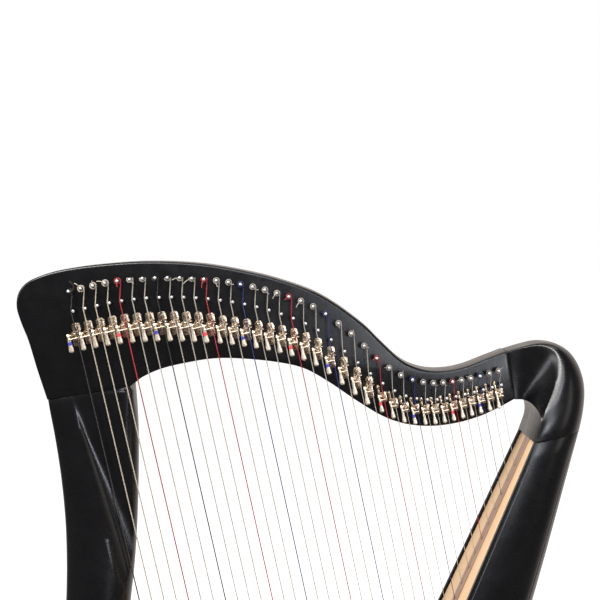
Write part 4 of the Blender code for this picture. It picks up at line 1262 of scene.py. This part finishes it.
def bracket_master(size):
    """A bracket in its lever's own frame, with heights out from the neck counted from the lever's axis."""
    pieces = folded_plates(size) if size.upper else treble_plates()
    pieces.append(ear_wall(size.ear))
    pieces.append(cross_bar("axle", size.hub[0] - 0.2, size.ear[1] + 0.3, 0.0, 0.0, AXLE_R))
    pieces.append(cross_bar("fret", -1.7, 1.6, -4.0, FRET_OUT, 0.75))
    pieces.append(plate("fret_post", (-1.5, 1.4), (-4.6, -3.4), (PLATE_TOP, FRET_OUT), 0.4))
    master = join(f"{size.name}_bracket_master", pieces)
    shade(master, BRACKET_NICKEL)
    return master


def make_brackets():
    masters = {size: bracket_master(size) for size in LEVER_SIZES}
    for number in range(1, STRINGS + 1):
        bracket = copy_of(masters[lever_size(number)], f"bracket_{number:02d}", lever_place(number))
        settle(bracket, "lever_brackets")
    drop(masters.values())


# Base, feet and bolt

UPRIGHT = Matrix.Rotation(-math.pi / 2, 4, "X")


def make_base():
    half = smooth_line(BASE_PLAN, 8)
    plan = half + [(x, -y) for x, y in reversed(half[1:-1])]
    outline = [at(x, y, BASE_TOP_Z) for x, y in plan]
    base = board("base_plinth", outline, BASE_TOP_Z - BASE_BOTTOM_Z, (0, 0, -1))
    round_edges(base, BASE_EDGE, 6, 60)
    complete(base, LACQUER, 30, "base")


def make_feet():
    top = (DATUM_Z + BASE_BOTTOM_Z - FOOT_CLEAR, FOOT_TOP_R)
    for node, x, y in FEET:
        foot = turned(f"{node}_rubber", (*FOOT_PROFILE, top), 40)
        foot.data.transform(Matrix.Translation(at(x, y, -DATUM_Z)) @ UPRIGHT)
        complete(foot, RUBBER, 30, node)


def make_bolt():
    bolt = turned("pillar_bolt_head", BOLT_PROFILE, 30)
    bolt.data.transform(Matrix.Translation(at(BOLT_X, BOLT_Y, BASE_BOTTOM_Z + GAP)) @ UPRIGHT)
    complete(bolt, BOLT_STEEL, 35, "pillar_bolt")


# Stage

CAMERA_DISTANCE = 1.35267
CAMERA_ELEVATION_DEG = 3.6
CAMERA_LENS = 64.8
CAMERA_SENSOR = 36.0

# The room as the lacquer and metal mirror it, and its plain light on everything else.
ROOM_FRONT = (0.14, 0.132, 0.134, 1.0)
ROOM_BACK = (0.86, 0.78, 0.73, 1.0)
ROOM_LIGHT = (0.48, 0.48, 0.48, 1.0)
WHITE_SIDE = (0.3, 1.0, 0.0)
FLOOR_GLOW = 0.6
# Name, place, what it is aimed at, width, height, how far it leans to the left, watts, colour.
LAMPS = (
    ("key_above", (-0.2, -1.9, 2.86), (0.2, 0.0, 1.1), 1.3, 0.8, 0, 27.0, "#F6F9FF"),
    ("softbox_left", (-1.18, -1.05, 2.92), (0.32, 0.0, 1.1), 1.5, 0.42, 0, 52.0, "#FFFDFA"),
    ("window_right", (0.66, -2.5, 1.7), (0.3, 0.0, 1.1), 0.5, 1.9, 26, 17.0, "#F0F4FF"),
    ("window_low", (0.9, -2.5, 1.22), (0.3, 0.0, 1.0), 0.28, 0.7, 0, 7.0, "#F4F6FF"),
    ("wall_right", (2.7, -1.7, 1.5), (0.3, 0.0, 1.1), 0.6, 2.4, 0, 7.0, "#FFF6EE"),
    ("window_left", (-2.5, -0.5, 2.15), (-0.3, 0.0, 1.2), 0.9, 1.6, 0, 24.0, "#F8FAFF"),
    ("overhead", (0.1, -0.2, 3.3), (0.0, 0.0, 1.0), 1.8, 0.3, 0, 9.0, "#FFFDF8"),
)


def make_camera():
    target = at(0, 0, 0)
    elevation = math.radians(CAMERA_ELEVATION_DEG)
    back = Vector((0.0, -math.cos(elevation), math.sin(elevation)))
    data = bpy.data.cameras.new("camera")
    data.lens = CAMERA_LENS
    data.sensor_width = CAMERA_SENSOR
    data.clip_end = 60.0
    camera = placed("camera", data)
    camera.location = target + back * CAMERA_DISTANCE
    camera.rotation_euler = back.to_track_quat("Z", "Y").to_euler()
    bpy.context.scene.camera = camera


def make_lamp(name, place, aim, across, high, lean_deg, power, colour):
    data = bpy.data.lights.new(name, "AREA")
    data.shape = "RECTANGLE"
    data.size = across
    data.size_y = high
    data.energy = power
    data.color = linear(colour)[:3]
    lamp = placed(name, data)
    lamp.location = place
    facing = (Vector(place) - Vector(aim)).to_track_quat("Z", "Y")
    lamp.rotation_euler = (facing @ Quaternion((0, 0, 1), math.radians(lean_deg))).to_euler()


def pale_floor():
    """Seamless paper, plain and matt. To the camera it glows a little, so that it ends in white."""
    made = bpy.data.materials.new("pale_floor")
    made.use_nodes = True
    tree = made.node_tree
    tree.nodes.remove(tree.nodes["Principled BSDF"])
    diffuse = add_node(tree, "ShaderNodeBsdfDiffuse", None, {"Color": linear("#F4F4F4")})
    path = add_node(tree, "ShaderNodeLightPath")
    seen = add_node(tree, "ShaderNodeMath", {"operation": "MULTIPLY"}, {
        0: path.outputs["Is Camera Ray"], 1: FLOOR_GLOW})
    glow = add_node(tree, "ShaderNodeEmission", None, {"Color": (1, 1, 1, 1), "Strength": seen.outputs[0]})
    both = add_node(tree, "ShaderNodeAddShader", None, {0: diffuse.outputs[0], 1: glow.outputs[0]})
    tree.links.new(both.outputs[0], tree.nodes["Material Output"].inputs["Surface"])
    return made


def make_world():
    """White behind the harp, and a dim warm room on the side that it is photographed from."""
    world = bpy.data.worlds.new("studio")
    bpy.context.scene.world = world
    world.use_nodes = True
    tree = world.node_tree
    background = tree.nodes["Background"]
    source = add_node(tree, "ShaderNodeTexCoord")
    along = add_node(tree, "ShaderNodeVectorMath", {"operation": "DOT_PRODUCT"}, {
        0: source.outputs["Generated"], 1: WHITE_SIDE})
    behind = spread_range(tree, along.outputs["Value"], 0.0, 1.0, 0.4, 0.75)
    room = mixed(tree, behind, ROOM_FRONT, ROOM_BACK)
    path = add_node(tree, "ShaderNodeLightPath")
    lit = mixed(tree, path.outputs["Is Glossy Ray"], ROOM_LIGHT, room)
    shown = add_node(tree, "ShaderNodeMath", {"operation": "MAXIMUM"}, {
        0: path.outputs["Is Camera Ray"], 1: path.outputs["Is Transmission Ray"]})
    colour = mixed(tree, shown.outputs[0], lit, (1, 1, 1, 1))
    tree.links.new(colour, background.inputs["Color"])
    background.inputs["Strength"].default_value = 1.0


def make_stage():
    floor = start("floor", bpy.ops.mesh.primitive_plane_add, size=60.0, location=(0, 0, 0))
    floor.data.materials.append(pale_floor())
    floor.visible_glossy = False
    make_world()
    for lamp in LAMPS:
        make_lamp(*lamp)
    bpy.context.scene.view_settings.view_transform = "Standard"


def main():
    make_camera()
    make_neck()
    make_pins()
    make_pillar()
    make_shoulder()
    make_soundbox()
    make_board()
    make_strings()
    make_anchor_rib()
    make_brackets()
    make_levers()
    make_base()
    make_feet()
    make_bolt()
    make_stage()


main()
